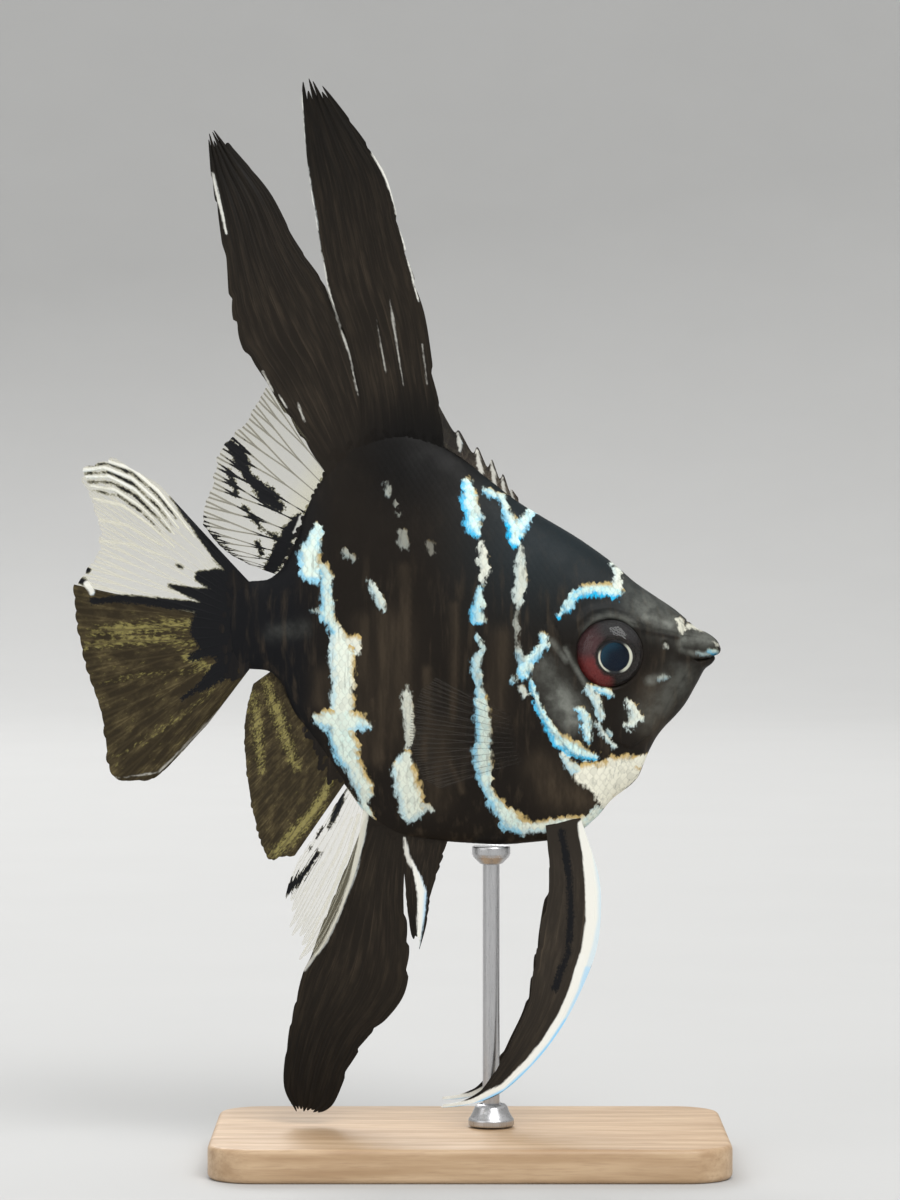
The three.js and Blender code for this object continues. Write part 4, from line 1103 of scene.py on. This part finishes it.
# What fins share, in millimetres and shares of their length; FINS says where one differs.
FIN = {"edge": 0.08, "ridge": 0.08, "fray": 0.03, "rag": (0, 0), "clear": 3, "slot": "fin_clear"}
FAN = {**FIN, "rays": 13, "rows": 60, "root": 0.9, "tufts": 26}
LOBE = {**FIN, "rays": 10, "rows": 110, "root": 1.1, "edge": 0.1, "ridge": 0.06, "fray": 0.06,
        "tufts": 6, "finish": "black", "clear": -3, "slot": "fin_black"}
FINS = {
    "dorsal_fin_spines": {
        **FAN,
        "sheet": along_rays(
            [(7.4, 96.6), (2.6, 100), (-4.6, 103.6)],
            [(7.2, 98.3), (6.2, 99.6), (5.9, 99.3), (5, 101.8), (4.4, 101.2), (3.3, 104),
             (2.6, 102.9), (1.2, 105.8), (0.4, 105), (-1.5, 108.2), (-2.4, 108.2),
             (-4.9, 112.6)]),
        "rays": 7, "rows": 30, "edge": 0.1, "fray": 0, "tufts": 5, "finish": "spiny",
        "clear": -0.2, "sway": bow(0), "slot": "fin_white"},
    "dorsal_fin_front_lobe": {
        **LOBE,
        "sheet": between_edges(
            [(-3.2, 99.6), (-4.1, 109.6), (-5.3, 116.9), (-6.6, 125.6), (-8.9, 133.2),
             (-10.7, 140), (-12.5, 146.2), (-15.6, 151.1), (-19, 155.8), (-22.2, 160)],
            [(-16.4, 101.6), (-16.0, 111.6), (-17.6, 119.8), (-19.3, 124.8), (-21, 129.5),
             (-22.6, 138.5), (-23.9, 147.2), (-24.6, 155.1), (-24.8, 160.3)]),
        "rows": 120, "root": 1.2, "rag": (0.03, 0.01), "sway": bow(-1.8)},
    "dorsal_fin_rear_lobe": {
        **LOBE,
        "sheet": between_edges(
            [(-13.6, 101.4), (-14.9, 111.8), (-16.9, 119.7), (-18.8, 124.9), (-21.5, 130.0),
             (-25.6, 136.1), (-29.4, 143.3), (-33.7, 148.6), (-38, 153.5)],
            [(-19.0, 98.6), (-24.0, 105.9), (-27.4, 110.9), (-30, 115), (-33.1, 119.4),
             (-35, 124.8), (-36, 131.3), (-37, 138.5), (-38.2, 145.7), (-38.9, 152.5)]),
        "rag": (0.01, 0.035), "sway": bow(2.5)},
    "dorsal_fin_soft_rays": {
        **FAN,
        "sheet": along_rays(
            [(-19.6, 101.2), (-24.0, 91.8), (-27.5, 86.6)],
            [(-30.2, 115.2), (-33.2, 110), (-36.9, 105.8), (-38.3, 100.4), (-39.7, 95.2),
             (-36.7, 90.9), (-32.4, 88.3)]),
        "finish": "straw", "sway": lambda along, across: 0.9 * along * np.sin(across * 7)},
    "anal_fin_spines": {
        **LOBE,
        "sheet": between_edges(
            [(-2.4, 50.6), (-4.0, 44.8), (-5.6, 40), (-6.3, 35.6), (-7.3, 31.2)],
            [(-9.8, 52.0), (-9.7, 43.2), (-9.2, 37), (-8.3, 31.6)]),
        "rays": 5, "rows": 50, "edge": 0.12, "ridge": 0.08, "fray": 0.1, "tufts": 3,
        "rag": (0.04, 0.02), "clear": -2, "sway": bow(0), "slot": "fin_white"},
    "anal_fin_long_lobe": {
        **LOBE,
        "sheet": between_edges(
            [(-9.0, 53.0), (-9.7, 40.6), (-9.2, 34.8), (-8.9, 29.8), (-9.6, 24.8), (-12.2, 20.9),
             (-15, 18.3), (-17.9, 13.5), (-20.3, 8.1), (-23.2, 6.4)],
            [(-13.8, 55.2), (-17.4, 46.0), (-20.5, 38.4), (-23.1, 32), (-24.8, 27.6),
             (-26.1, 22.6), (-27.2, 16.8), (-27.6, 10.9), (-25.9, 7.0)]),
        "fray": 0.03, "tufts": 8, "rag": (0.03, 0.015), "sway": bow(2.2)},
    "anal_fin_clear_rays": {
        **FAN,
        "sheet": between_edges(
            [(-14.2, 54.6), (-15.9, 46.6), (-17.8, 40.4), (-20.4, 34.4), (-23.0, 30.2),
             (-25.6, 27.2)],
            [(-17.5, 56.4), (-22.1, 49.7), (-25.5, 44.5), (-27.7, 39)]),
        "rays": 9, "root": 0.4, "fray": 0.14, "tufts": 9, "finish": "strands",
        "rag": (0.0, 0.02), "sway": lambda along, across: -1.3 * ease(along, 0, 0.5)},
    "anal_fin_rear_lobe": {
        **FAN,
        "sheet": along_rays(
            [(-17.0, 58.2), (-22.0, 66.0), (-27.0, 74.4)],
            [(-26.0, 45.2), (-27.9, 45.1), (-30, 44.9), (-31.7, 49.7), (-32.8, 55),
             (-33.4, 60.8), (-33.3, 65.8), (-32.1, 70.7)]),
        "fray": 0.018, "finish": "smoke", "clear": -1.2, "slot": "fin_black",
        "sway": lambda along, across: -1.1 * along * np.sin(1 + across * 4)},
    "caudal_fin_upper": {
        **FAN,
        "sheet": along_rays(
            [(-32.6, 85.9), (-32.6, 79.4)],
            [(-46.1, 100.4), (-50.4, 103), (-53.3, 104.3), (-57.6, 102.5), (-56.2, 97.5),
             (-55, 91.7), (-58.8, 85.4)]),
        "rays": 11, "rows": 70, "root": 1.0, "tufts": 14, "finish": "glassy",
        "sway": lambda along, across: 1.8 * along ** 2 * (1 - across)},
    "caudal_fin_lower": {
        **FAN,
        "sheet": along_rays(
            [(-32.6, 79.6), (-32.6, 72.9)],
            [(-58.9, 85.6), (-58.2, 78.8), (-56.9, 73), (-54.7, 65.8), (-53.3, 57.2),
             (-49.7, 56.2), (-46.1, 57.2), (-38.9, 64.7)]),
        "rays": 12, "rows": 70, "root": 1.0, "fray": 0.015, "tufts": 24,
        "finish": "smoke", "clear": -1.1, "slot": "fin_smoke",
        "sway": lambda along, across: 1.5 * along ** 2 * across},
}
# Columns of the mesh to each ray, and the plain sheet's thickness before its sides are placed.
RAY_COLUMNS = 12
PLAIN_SHEET = 0.02
# A ray's half width in shares of the spacing, and how far out a fin's thick root reaches.
RIDGE_WIDTH = 0.07
ROOT_REACH = 0.07

PELVIC = {
    "front": [(16.4, 51), (19, 42.8), (19.4, 37), (18.7, 31.5), (16.8, 26.4), (14, 20.9),
              (10.1, 15.6), (4.8, 10.7), (0, 8.9), (-4.3, 8.4)],
    "rear": [(11.2, 50.4), (11.8, 42.8), (10.8, 37), (9.8, 31.2), (8.4, 23.3), (6, 18),
             (4.2, 14.6), (1.6, 11), (-1.2, 9.4), (-4.3, 8.9)],
    "root_y": 1.5,
    "splay": 2.8,
}
PECTORAL = {
    "root": [(8, 65.6), (8, 59.4)],
    "margin": [(-5.2, 72.4), (-7.6, 70), (-8.8, 66), (-8.7, 61.4), (-7.2, 57.6), (-4.6, 55.8)],
    "root_y": 4.1,
    "spread": {RIGHT: 5.6, LEFT: 9},
    "cup": 1.2,
}

# "foot" is how far a see-through fin stays milky above its root, and how milky it is there.
DENSE = {"rays": 10, "ground": INKY, "streak": colour(0.055, 0.041, 0.027), "streaks": 0.8,
         "glass": COAL, "glass_ray": COAL, "ground_alpha": 0.995, "glass_alpha": 0.9,
         "ray_alpha": 0.95, "ragged": 1.0, "bleed": 0.0, "speck": 0.0, "tip": 0.6,
         "foot": (0.16, 0.6)}
SHEER = {**DENSE, "rays": 13, "streak": UMBER, "glass": colour(0.6, 0.57, 0.38),
         "glass_ray": colour(0.04, 0.033, 0.02), "ground_alpha": 0.99, "glass_alpha": 0.07,
         "ray_alpha": 0.5, "ragged": 0.8, "bleed": 0.5, "foot": (0.5, 0.32)}
FIN_FINISHES = {
    "black": DENSE,
    "spiny": {**DENSE, "rays": 5, "ground": colour(0.05, 0.036, 0.027), "streaks": 1.0,
              "streak": colour(0.5, 0.44, 0.32), "ground_alpha": 0.85},
    "straw": {**SHEER, "rays": 11, "ragged": 0.9, "bleed": 0.9},
    "glassy": {**SHEER, "rays": 11, "glass_ray": colour(0.7, 0.66, 0.47), "ray_alpha": 0.24,
               "ragged": 0.35, "bleed": 0.2, "foot": (0.45, 0.28)},
    "strands": {**SHEER, "rays": 9, "glass": colour(0.5, 0.47, 0.34), "ragged": 0.7,
                "glass_ray": colour(0.52, 0.51, 0.43), "glass_alpha": 0.1, "ray_alpha": 0.34,
                "foot": (0.2, 0.2)},
    "smoke": {**DENSE, "tip": 0.0, "rays": 12, "ground": SMOKE,
              "streak": colour(0.14, 0.108, 0.048), "streaks": 0.9,
              "glass": colour(0.25, 0.215, 0.06), "glass_ray": colour(0.1, 0.08, 0.03),
              "ragged": 0.9, "speck": 1.0, "ground_alpha": 0.95, "glass_alpha": 0.8,
              "ray_alpha": 0.88},
    "pelvic": {**DENSE, "rays": 5, "ground": colour(0.026, 0.021, 0.016),
               "streak": colour(0.085, 0.066, 0.045), "ground_alpha": 0.97, "ragged": 0.7},
    "pectoral": {**SHEER, "rays": 12, "glass": colour(0.035, 0.032, 0.028),
                 "glass_ray": colour(0.05, 0.045, 0.038), "glass_alpha": 0.04,
                 "ray_alpha": 0.26, "foot": (0.1, 0.1)},
}
# How far small scales climb up the foot of each fin.
SHEATHS = {"dorsal_fin_front_lobe": 8, "dorsal_fin_rear_lobe": 7, "anal_fin_spines": 4,
           "anal_fin_long_lobe": 6, "anal_fin_rear_lobe": 4, "caudal_fin_upper": 5,
           "caudal_fin_lower": 5, "dorsal_fin_soft_rays": 2.4}
# How closely a sheath's rows follow, how much its last scales shrink, and how high they lie.
SHEATH = {"overlap": 0.62, "shrink": 0.5, "lift": 0.045, "margin": 0.005, "brown": 0.1}


def forked(across, along, rays):
    """Distance from the nearest branch of a ray, in shares of the rays' spacing."""
    value = across * rays - np.floor(across * rays) - 0.5
    for gap, start, end in FORKS:
        value = np.abs(np.abs(value) - gap * ease(along, start, end))
    return value


def torn(along, steps, phase):
    """A torn edge: it draws in little by little, then steps out again."""
    wave = along * steps + phase + 0.35 * np.sin(along * 17 + phase * 9)
    share = wave - np.floor(wave)
    return share ** 2 * ease(share, 1.0, 0.82) * 1.5 * ease(along, 0.04, 0.2)


def skin_of(fin, along):
    """Thickness of a fin's skin: it thins quickly from the root to the edge."""
    return fin["edge"] + (fin["root"] - fin["edge"]) * np.exp(-along / ROOT_REACH)


def fin_shape(along, across, fin, tips):
    """Where the fin's middle sheet lies; every branch of a ray has its own length."""
    branch = across * fin["tufts"]
    own = tips[np.clip(branch.astype(int), 0, len(tips) - 1)]
    notch = np.abs(branch - np.floor(branch) - 0.5) * 2
    reach = 1 - fin["fray"] * (own * (1 - notch ** 2) + notch ** 2) * ease(along, 0.35, 1)
    front = fin["rag"][0] * torn(along, 8, tips[0]) * (1 - across) ** 9
    rear = fin["rag"][1] * torn(along, 9, tips[-1]) * across ** 9
    flat = fin["sheet"](np.clip(along * reach, 0, 1), across + front - rear)
    return np.stack([flat[..., 0], fin["sway"](along, across), flat[..., 1]], axis=-1)


def make_fin(name, fin, material, marks, node):
    coarser = 1
    columns = fin["rays"] * RAY_COLUMNS // coarser
    rows = fin["rows"] // coarser
    bpy.ops.mesh.primitive_grid_add(x_subdivisions=columns, y_subdivisions=rows, size=2)
    piece = named(name)
    flat = corners_of(piece)
    across, along = (flat[:, 0] + 1) / 2, (flat[:, 1] + 1) / 2
    column = np.rint(across * columns).astype(int)
    row = np.rint(along * rows).astype(int)
    tips = random.random(fin["tufts"])
    grid_along, grid_across = np.meshgrid(np.arange(rows + 1) / rows,
                                          np.arange(columns + 1) / columns, indexing="ij")
    sheet = fin_shape(grid_along, grid_across, fin, tips)
    normal = -normals_of(*np.moveaxis(sheet, -1, 0))
    ridge = bump(forked(grid_across, grid_along, fin["rays"]), RIDGE_WIDTH)
    fade = ease(grid_along, 0.1, 0.35) * (1 - 0.6 * grid_along)
    half = (skin_of(fin, grid_along) + fin["ridge"] * ridge * fade) / 2
    middle, out, half = sheet[row, column], normal[row, column], half[row, column][:, None]
    place(piece, middle)
    solidify = piece.modifiers.new("skin_thickness", "SOLIDIFY")
    solidify.thickness = PLAIN_SHEET * MM
    solidify.offset = 0
    apply_modifiers(piece)
    first_side = corners_of(piece)[:len(middle)] / MM
    way = np.sign(((first_side - middle) * out).sum(axis=1, keepdims=True))
    way[way == 0] = 1
    place(piece, np.concatenate([middle + out * half * way, middle - out * half * way]))
    smooth(piece, SHARP["fins"])
    x, z = middle[:, 0], middle[:, 2]
    pale, blue, might, above = paint(x, z, marks["pale"], FIN_LEAN)
    values = {"pale": pale, "blue": blue, "might": might, "above": above,
              "black": depth_inside(x, z, marks["dark"]),
              "clear": np.maximum(fin["clear"], depth_inside(x, z, marks["clear"])),
              "along": along, "across": across}
    store(piece, {key: np.tile(value, 2) for key, value in values.items()})
    finish_piece(piece, material, fin["slot"], node)


def make_sheath(name, fin, climb, side, material):
    """Small scales that climb from the body onto the foot of a fin."""
    flat, lift, _ = scale_template()
    probe = 0.2
    ends = fin["sheet"](np.array([0.0, probe, 0.0, 0.0]), np.array([0.5, 0.5, 0.0, 1.0]))
    height = np.linalg.norm(ends[1] - ends[0]) / probe
    width = np.linalg.norm(ends[3] - ends[2])
    zone = SHEATH_SCALE
    rise = zone["row"] * SHEATH["overlap"]
    rows = int(climb / rise)
    columns = int(width / zone["pitch"]) - 1
    roots = []
    for row in range(rows):
        shrink = 1 - SHEATH["shrink"] * row / rows
        for column in range(columns):
            across = (column + 1 + 0.5 * (row % 2)) * zone["pitch"] / width
            if random.random() > (row / rows) ** 3:
                roots.append((row * rise / height, across, shrink))
    roots = np.array(roots)
    size = roots[:, 2:]
    along = roots[:, :1] + flat[None, :, 0] * zone["pitch"] * size / height
    across = roots[:, 1:2] + flat[None, :, 1] * zone["row"] * size / width
    along = np.clip(along, 0, 1)
    across = np.clip(across, SHEATH["margin"], 1 - SHEATH["margin"])
    sheet = fin["sheet"](along, across)
    out = skin_of(fin, along) / 2 + SHEATH["lift"] + lift[None, :] * zone["lift"] * size
    points = np.stack([sheet[..., 0], fin["sway"](along, across) + side * out,
                       sheet[..., 1]], axis=-1)
    plain = np.zeros(points.shape[0] * points.shape[1])
    marks = {"pale": plain + FAR_OUTSIDE, "blue": plain, "might": plain, "above": plain,
             "grey": plain, "brown": plain + SHEATH["brown"], "own": plain}
    map_roots = np.stack([sheet[:, -1, 0], roots[:, 0] * height - SHEATH_MAP_DROP], axis=-1)
    join_scales(name, points, map_roots, marks, side, material)


def pelvic_fin(side):
    return {**FIN, "sheet": between_edges(PELVIC["front"], PELVIC["rear"]), "rays": 5,
            "rows": 130, "root": 1.0, "edge": 0.12, "fray": 0.01, "tufts": 2, "clear": -3,
            "slot": "fin_white", "rag": (0.0, 0.045),
            "sway": lambda along, across: side * (PELVIC["root_y"] + PELVIC["splay"] * along)}


def pectoral_fin(side):
    spread = PECTORAL["spread"][side]
    return {**FIN, "sheet": along_rays(PECTORAL["root"], PECTORAL["margin"]), "rays": 12,
            "rows": 50, "root": 0.6, "edge": 0.05, "ridge": 0.05, "tufts": 24,
            "sway": lambda along, across:
                side * (PECTORAL["root_y"] + spread * along ** 0.8
                        + PECTORAL["cup"] * np.sin(across * math.pi) * along)}


def make_fins(sheath_finish):
    finishes = {name: fin_finish(name + "_fin_skin", look)
                for name, look in FIN_FINISHES.items()}
    marks = {"pale": PALE_FIN_MARKS, "dark": DARK_FIN_MARKS, "clear": CLEAR_FIN_MARKS}
    unmarked = {"pale": [], "dark": [], "clear": []}
    for name, fin in FINS.items():
        make_fin("shaped_" + name, fin, finishes[fin["finish"]], marks, name)
        for side, word in SIDES if name in SHEATHS else ():
            make_sheath(f"{name}_sheath_{word}", fin, SHEATHS[name], side, sheath_finish)
    for side, word in SIDES:
        make_fin(f"shaped_pelvic_fin_{word}", pelvic_fin(side), finishes["pelvic"], marks,
                 f"pelvic_fin_{word}")
        make_fin(f"shaped_pectoral_fin_{word}", pectoral_fin(side), finishes["pectoral"],
                 unmarked, f"pectoral_fin_{word}")


# ------------------------------------------------------------------ round pieces

def round_piece(name, profile, turns, steps):
    """A round piece turned from a profile of (radius, height) about its own axis."""
    piece, share, turn = ball(name, turns, steps)
    points = np.array(profile, float)
    reach = lengths_along(points)
    spots = np.linspace(0, reach[-1], steps + 1)
    # The nearest ring is drawn onto each corner of the profile so that none is cut off.
    for corner in reach[1:-1]:
        spots[1 + np.argmin(np.abs(spots[1:-1] - corner))] = corner
    ring = np.rint(share * steps).astype(int)
    radius, height = (np.interp(spots, reach, points[:, k])[ring] for k in (0, 1))
    return piece, radius, height, turn


# ------------------------------------------------------------------ eyes

PUPIL = {"x": 21.3, "z": 75.0, "radius": 2.08, "ring": 2.42}
IRIS_PROFILE = [(0, 5.0), (1.4, 5.02), (2.02, 5.08), (2.1, 5.26), (2.6, 5.3), (3.6, 5.1),
                (4.4, 4.75), (4.95, 4.3), (4.6, 2.6), (2.6, 1.4), (0, 1.0)]
CORNEA_PROFILE = [(0, 6.2), (1.0, 6.16), (2.0, 6.0), (3.0, 5.7), (3.8, 5.32), (4.4, 4.9),
                  (4.75, 4.5), (4.7, 4.0), (3.6, 3.4), (0, 3.2)]


def iris_finish():
    """The iris about its pupil, with a painted reflection in the pupil; angles run in degrees
    from the nose, up over the eye.
    """
    finish = Finish("iris")
    centre = (PUPIL["x"] * MM, 0, PUPIL["z"] * MM)
    away = finish.where.place_sum("MULTIPLY", (1, 0, 1)).place_sum("SUBTRACT", centre)
    radius = away.length().sum("DIVIDE", MM)
    angle = away.part("Z").sum("ARCTAN2", away.part("X"))
    fibre = finish.where.wobble(0.35, 1.0, (1, 0, 1), 4.0)
    threads = fibre.ramp(-0.3, 0.3)

    def facing(degrees, low, high):
        return (angle - math.radians(degrees)).sum("COSINE").ramp(low, high)

    tint = fibre.ramp(-0.2, 0.3).blend(colour(0.014, 0.013, 0.013), colour(0.04, 0.033, 0.029))
    lid = facing(90, 0.3, 0.9) * radius.ramp(2.8, 3.6)
    tint = (lid * 0.6).blend(tint, colour(0.05, 0.05, 0.052))
    outside = (radius + finish.where.wobble(1.4, 1.0, (1, 0, 1))).ramp(2.6, 3.3)
    plum = threads.blend(colour(0.06, 0.03, 0.032), colour(0.12, 0.062, 0.064))
    wine = threads.blend(colour(0.12, 0.022, 0.022), colour(0.25, 0.045, 0.043))
    tint = (facing(178, 0.35, 0.85) * outside).blend(tint, plum)
    tint = (facing(222, 0.6, 0.92) * outside).blend(tint, wine)
    edge = fibre * 0.12 + radius
    inner = edge.ramp(PUPIL["radius"], PUPIL["radius"] + 0.1)
    outer = facing(-15, 0.2, 1.0) * -0.16 + edge
    ring = inner * outer.ramp(PUPIL["ring"] - 0.12, PUPIL["ring"] + 0.06, 1.0, 0.0)
    glow = facing(-8, 0.35, 0.8).most(facing(203, 0.6, 0.9))
    gold = glow.blend(colour(0.03, 0.035, 0.04), colour(0.72, 0.74, 0.62))
    tint = ring.blend(tint, gold)
    hole = radius.ramp(PUPIL["radius"] - 0.06, PUPIL["radius"] + 0.02, 1.0, 0.0)
    # Painted reflection: the pupil turns blue towards its upper rear.
    painted_pupil_sheen = facing(135, -0.2, 1.0) * radius.ramp(0.3, 2.0)
    deep = painted_pupil_sheen.blend(colour(0.002, 0.008, 0.019), colour(0.012, 0.045, 0.075))
    return finish.surface({"Base Color": hole.blend(tint, deep), "Roughness": 0.4,
                           "Specular IOR Level": 0.05}, fibre, 0.3, 0.05)


def cornea_finish():
    return Finish("cornea").surface({"Base Color": colour(1, 1, 1), "Roughness": 0.02,
                                     "Transmission Weight": 1.0, "IOR": 1.24})


def make_eyes():
    iris_skin, clear = iris_finish(), cornea_finish()
    for side, word in SIDES:
        for name, profile, skin, nodes in (("iris_", IRIS_PROFILE, iris_skin, ["eye_" + word]),
                                           ("cornea_", CORNEA_PROFILE, clear, [])):
            piece, radius, depth, turn = round_piece(name + word, profile, *EYE_MESH)
            share = np.clip(radius / ORBIT["radius"], 0, 1)
            x, z = (PUPIL[axis] + (ORBIT[axis] - PUPIL[axis]) * share for axis in "xz")
            place(piece, np.stack([x + radius * np.cos(turn), side * depth,
                                   z + radius * np.sin(turn)], axis=-1))
            face_outward(piece)
            smooth(piece)
            finish_piece(piece, skin, "eye", *nodes)


# ------------------------------------------------------------------ stand

BASE = {"length": 76, "depth": 48, "height": 5, "corner": 7, "edge": 0.8}
ROD_X = 3.2
TURNED = {
    "rod": [(0, 44.5), (1.1, 44.5), (1.25, 44.35), (1.25, 5.45), (1.1, 5.3), (0, 5.3)],
    "socket": [(0, 8.3), (1.5, 8.3), (1.75, 8.5), (2.05, 8.45), (2.4, 8.1), (2.75, 7.2),
               (3.15, 6.5), (3.32, 6.3), (3.4, 6.1), (3.4, 5.45), (3.3, 5.3), (0, 5.3)],
    "saddle": [(0, 46.7), (2.5, 46.7), (2.68, 46.75), (2.82, 46.6), (2.85, 46.3),
               (2.85, 45.6), (2.6, 45.1), (1.7, 44.2), (1.45, 44.1), (0, 44.1)],
}


def wood_finish():
    finish = Finish("pale_maple")
    grain_way = finish.where.stretched(0.08, 1, 1)
    grain, fine = grain_way.noise(2.2, 5.0), grain_way.noise(0.4, 3.0)
    tint = grain.ramp(0.3, 0.72).blend(colour(0.40, 0.26, 0.145), colour(0.56, 0.40, 0.25))
    tint = fine.ramp(0.45, 0.75, 0, 0.35).blend(tint, colour(0.3, 0.18, 0.1))
    return finish.surface({"Base Color": tint, "Roughness": fine.ramp(0.2, 0.8, 0.38, 0.52)},
                          fine, 0.3, 0.05)


def steel_finish():
    finish = Finish("satin_steel")
    brush = finish.where.stretched(1, 1, 0.05).noise(0.12, 3.0)
    tint = brush.blend(colour(0.42, 0.42, 0.43), colour(0.6, 0.6, 0.61))
    return finish.surface({"Base Color": tint, "Roughness": brush.ramp(0.2, 0.8, 0.24, 0.4),
                           "Metallic": 1.0}, brush, 0.15, 0.02)


def make_base(material):
    bpy.ops.mesh.primitive_cube_add(size=1)
    base = named("shaped_base")
    place(base, corners_of(base) * (BASE["length"], BASE["depth"], BASE["height"])
          + (0, 0, BASE["height"] / 2))
    with editing(base):
        bpy.ops.mesh.select_mode(type="EDGE")
        bpy.ops.mesh.select_all(action="DESELECT")
    for edge in base.data.edges:
        low, high = (base.data.vertices[k].co.z for k in edge.vertices)
        edge.select = abs(low - high) > BASE["height"] * MM / 2
    with editing(base):
        bpy.ops.mesh.bevel(offset=BASE["corner"] * MM, segments=16)
    soften = base.modifiers.new("soft_edges", "BEVEL")
    soften.width = BASE["edge"] * MM
    soften.segments = 4
    soften.limit_method = "ANGLE"
    soften.angle_limit = math.radians(50)
    apply_modifiers(base)
    smooth(base, SHARP["wood"])
    finish_piece(base, material, "stand_wood", "stand_base")


def make_stand():
    make_base(wood_finish())
    steel = steel_finish()
    for name, profile in TURNED.items():
        piece, radius, height, turn = round_piece("shaped_" + name, profile, *STAND_MESH)
        place(piece, around(ROD_X, radius, turn, height))
        face_outward(piece)
        smooth(piece, SHARP["metal"])
        finish_piece(piece, steel, "stand_steel", "stand_" + name)


# ------------------------------------------------------------------ room, light and camera

# In metres: a flat round floor, the curl at its edge and the wall above that.
FLOOR = {"flat": 1.3, "curl": 1.3, "wall": 0.25, "open_top": 0.03}
LIGHTS = {"key": ((0.6, -1.4, 1.7), 1.2, 36), "fill": ((-1.6, -1.1, 0.7), 1.4, 8),
          "back": ((-0.4, 1.2, 1.1), 1.0, 14)}
LIT_SPOT = (0, 0, 0.085)
ROOM_LIGHT = {"tint": colour(0.97, 0.97, 0.96), "power": 0.78}
CAMERA = {"distance": 700.0, "frame_height": 177.5, "centre_x": -2.9, "centre_z": 83.2,
          "elevation": 1.5, "sensor": 36}


def make_floor():
    """A wide flat floor whose far edge curls up into a wall on every side."""
    finish = Finish("pale_floor")
    cloud = finish.where.noise(60, 3.0)
    tint = cloud.ramp(0.2, 0.8).blend(colour(0.475, 0.475, 0.47), colour(0.485, 0.485, 0.48))
    floor, share, turn = ball("floor", *FLOOR_MESH)
    quarter = FLOOR["curl"] * math.pi / 2
    reach = (1 - share) * (FLOOR["flat"] + quarter + FLOOR["wall"])
    bend = np.clip((reach - FLOOR["flat"]) / FLOOR["curl"], 0, math.pi / 2)
    radius = np.minimum(reach, FLOOR["flat"]) + FLOOR["curl"] * np.sin(bend)
    height = (FLOOR["curl"] * (1 - np.cos(bend))
              + np.maximum(reach - FLOOR["flat"] - quarter, 0))
    place(floor, around(0, radius, turn, height) / MM)
    with editing(floor):
        bpy.ops.mesh.select_all(action="DESELECT")
    for vertex, part in zip(floor.data.vertices, share):
        vertex.select = bool(part < FLOOR["open_top"])
    with editing(floor):
        bpy.ops.mesh.delete(type="VERT")
        bpy.ops.mesh.select_all(action="SELECT")
        bpy.ops.mesh.flip_normals()
    smooth(floor)
    floor.data.materials.append(finish.surface({"Base Color": tint, "Roughness": 0.8}))


def make_lights():
    for name, (at, size, power) in LIGHTS.items():
        bpy.ops.object.light_add(type="AREA", location=at)
        light = named(name)
        light.data.size = size
        light.data.energy = power
        way = np.array(LIT_SPOT) - np.array(at)
        light.rotation_euler = (math.atan2(math.hypot(way[0], way[1]), -way[2]), 0,
                                math.atan2(way[0], -way[1]) + math.pi)
    world = bpy.data.worlds.new("soft_room")
    world.use_nodes = True
    room = world.node_tree.nodes["Background"]
    room.inputs["Color"].default_value = ROOM_LIGHT["tint"]
    room.inputs["Strength"].default_value = ROOM_LIGHT["power"]
    bpy.context.scene.world = world
    bpy.context.scene.view_settings.view_transform = "Standard"


def make_camera():
    tilt = math.radians(CAMERA["elevation"])
    away = CAMERA["distance"] * MM
    bpy.ops.object.camera_add(
        location=(CAMERA["centre_x"] * MM, -away * math.cos(tilt),
                  CAMERA["centre_z"] * MM + away * math.sin(tilt)),
        rotation=(math.pi / 2 - tilt, 0, 0))
    camera = named("camera")
    camera.data.sensor_width = CAMERA["sensor"]
    camera.data.lens = CAMERA["sensor"] * CAMERA["distance"] / CAMERA["frame_height"]
    camera.data.clip_start = 0.01
    bpy.context.scene.camera = camera


# ------------------------------------------------------------------ putting it together

make_camera()
make_lights()
make_floor()
skin_finish = marbled("marbled_skin", False)
scale_finish = marbled("marbled_scales", True)
make_skin(skin_finish)
for side, word in SIDES:
    trunk = scale_rows(TRUNK_SCALE, behind_gills)
    make_scales(f"trunk_scales_{word}", TRUNK_SCALE, trunk, side, scale_finish)
    cheeks = scale_rows(HEAD_SCALE, on_cheeks)
    make_scales(f"cheek_scales_{word}", HEAD_SCALE, cheeks, side, scale_finish)
make_fins(scale_finish)
make_eyes()
make_stand()
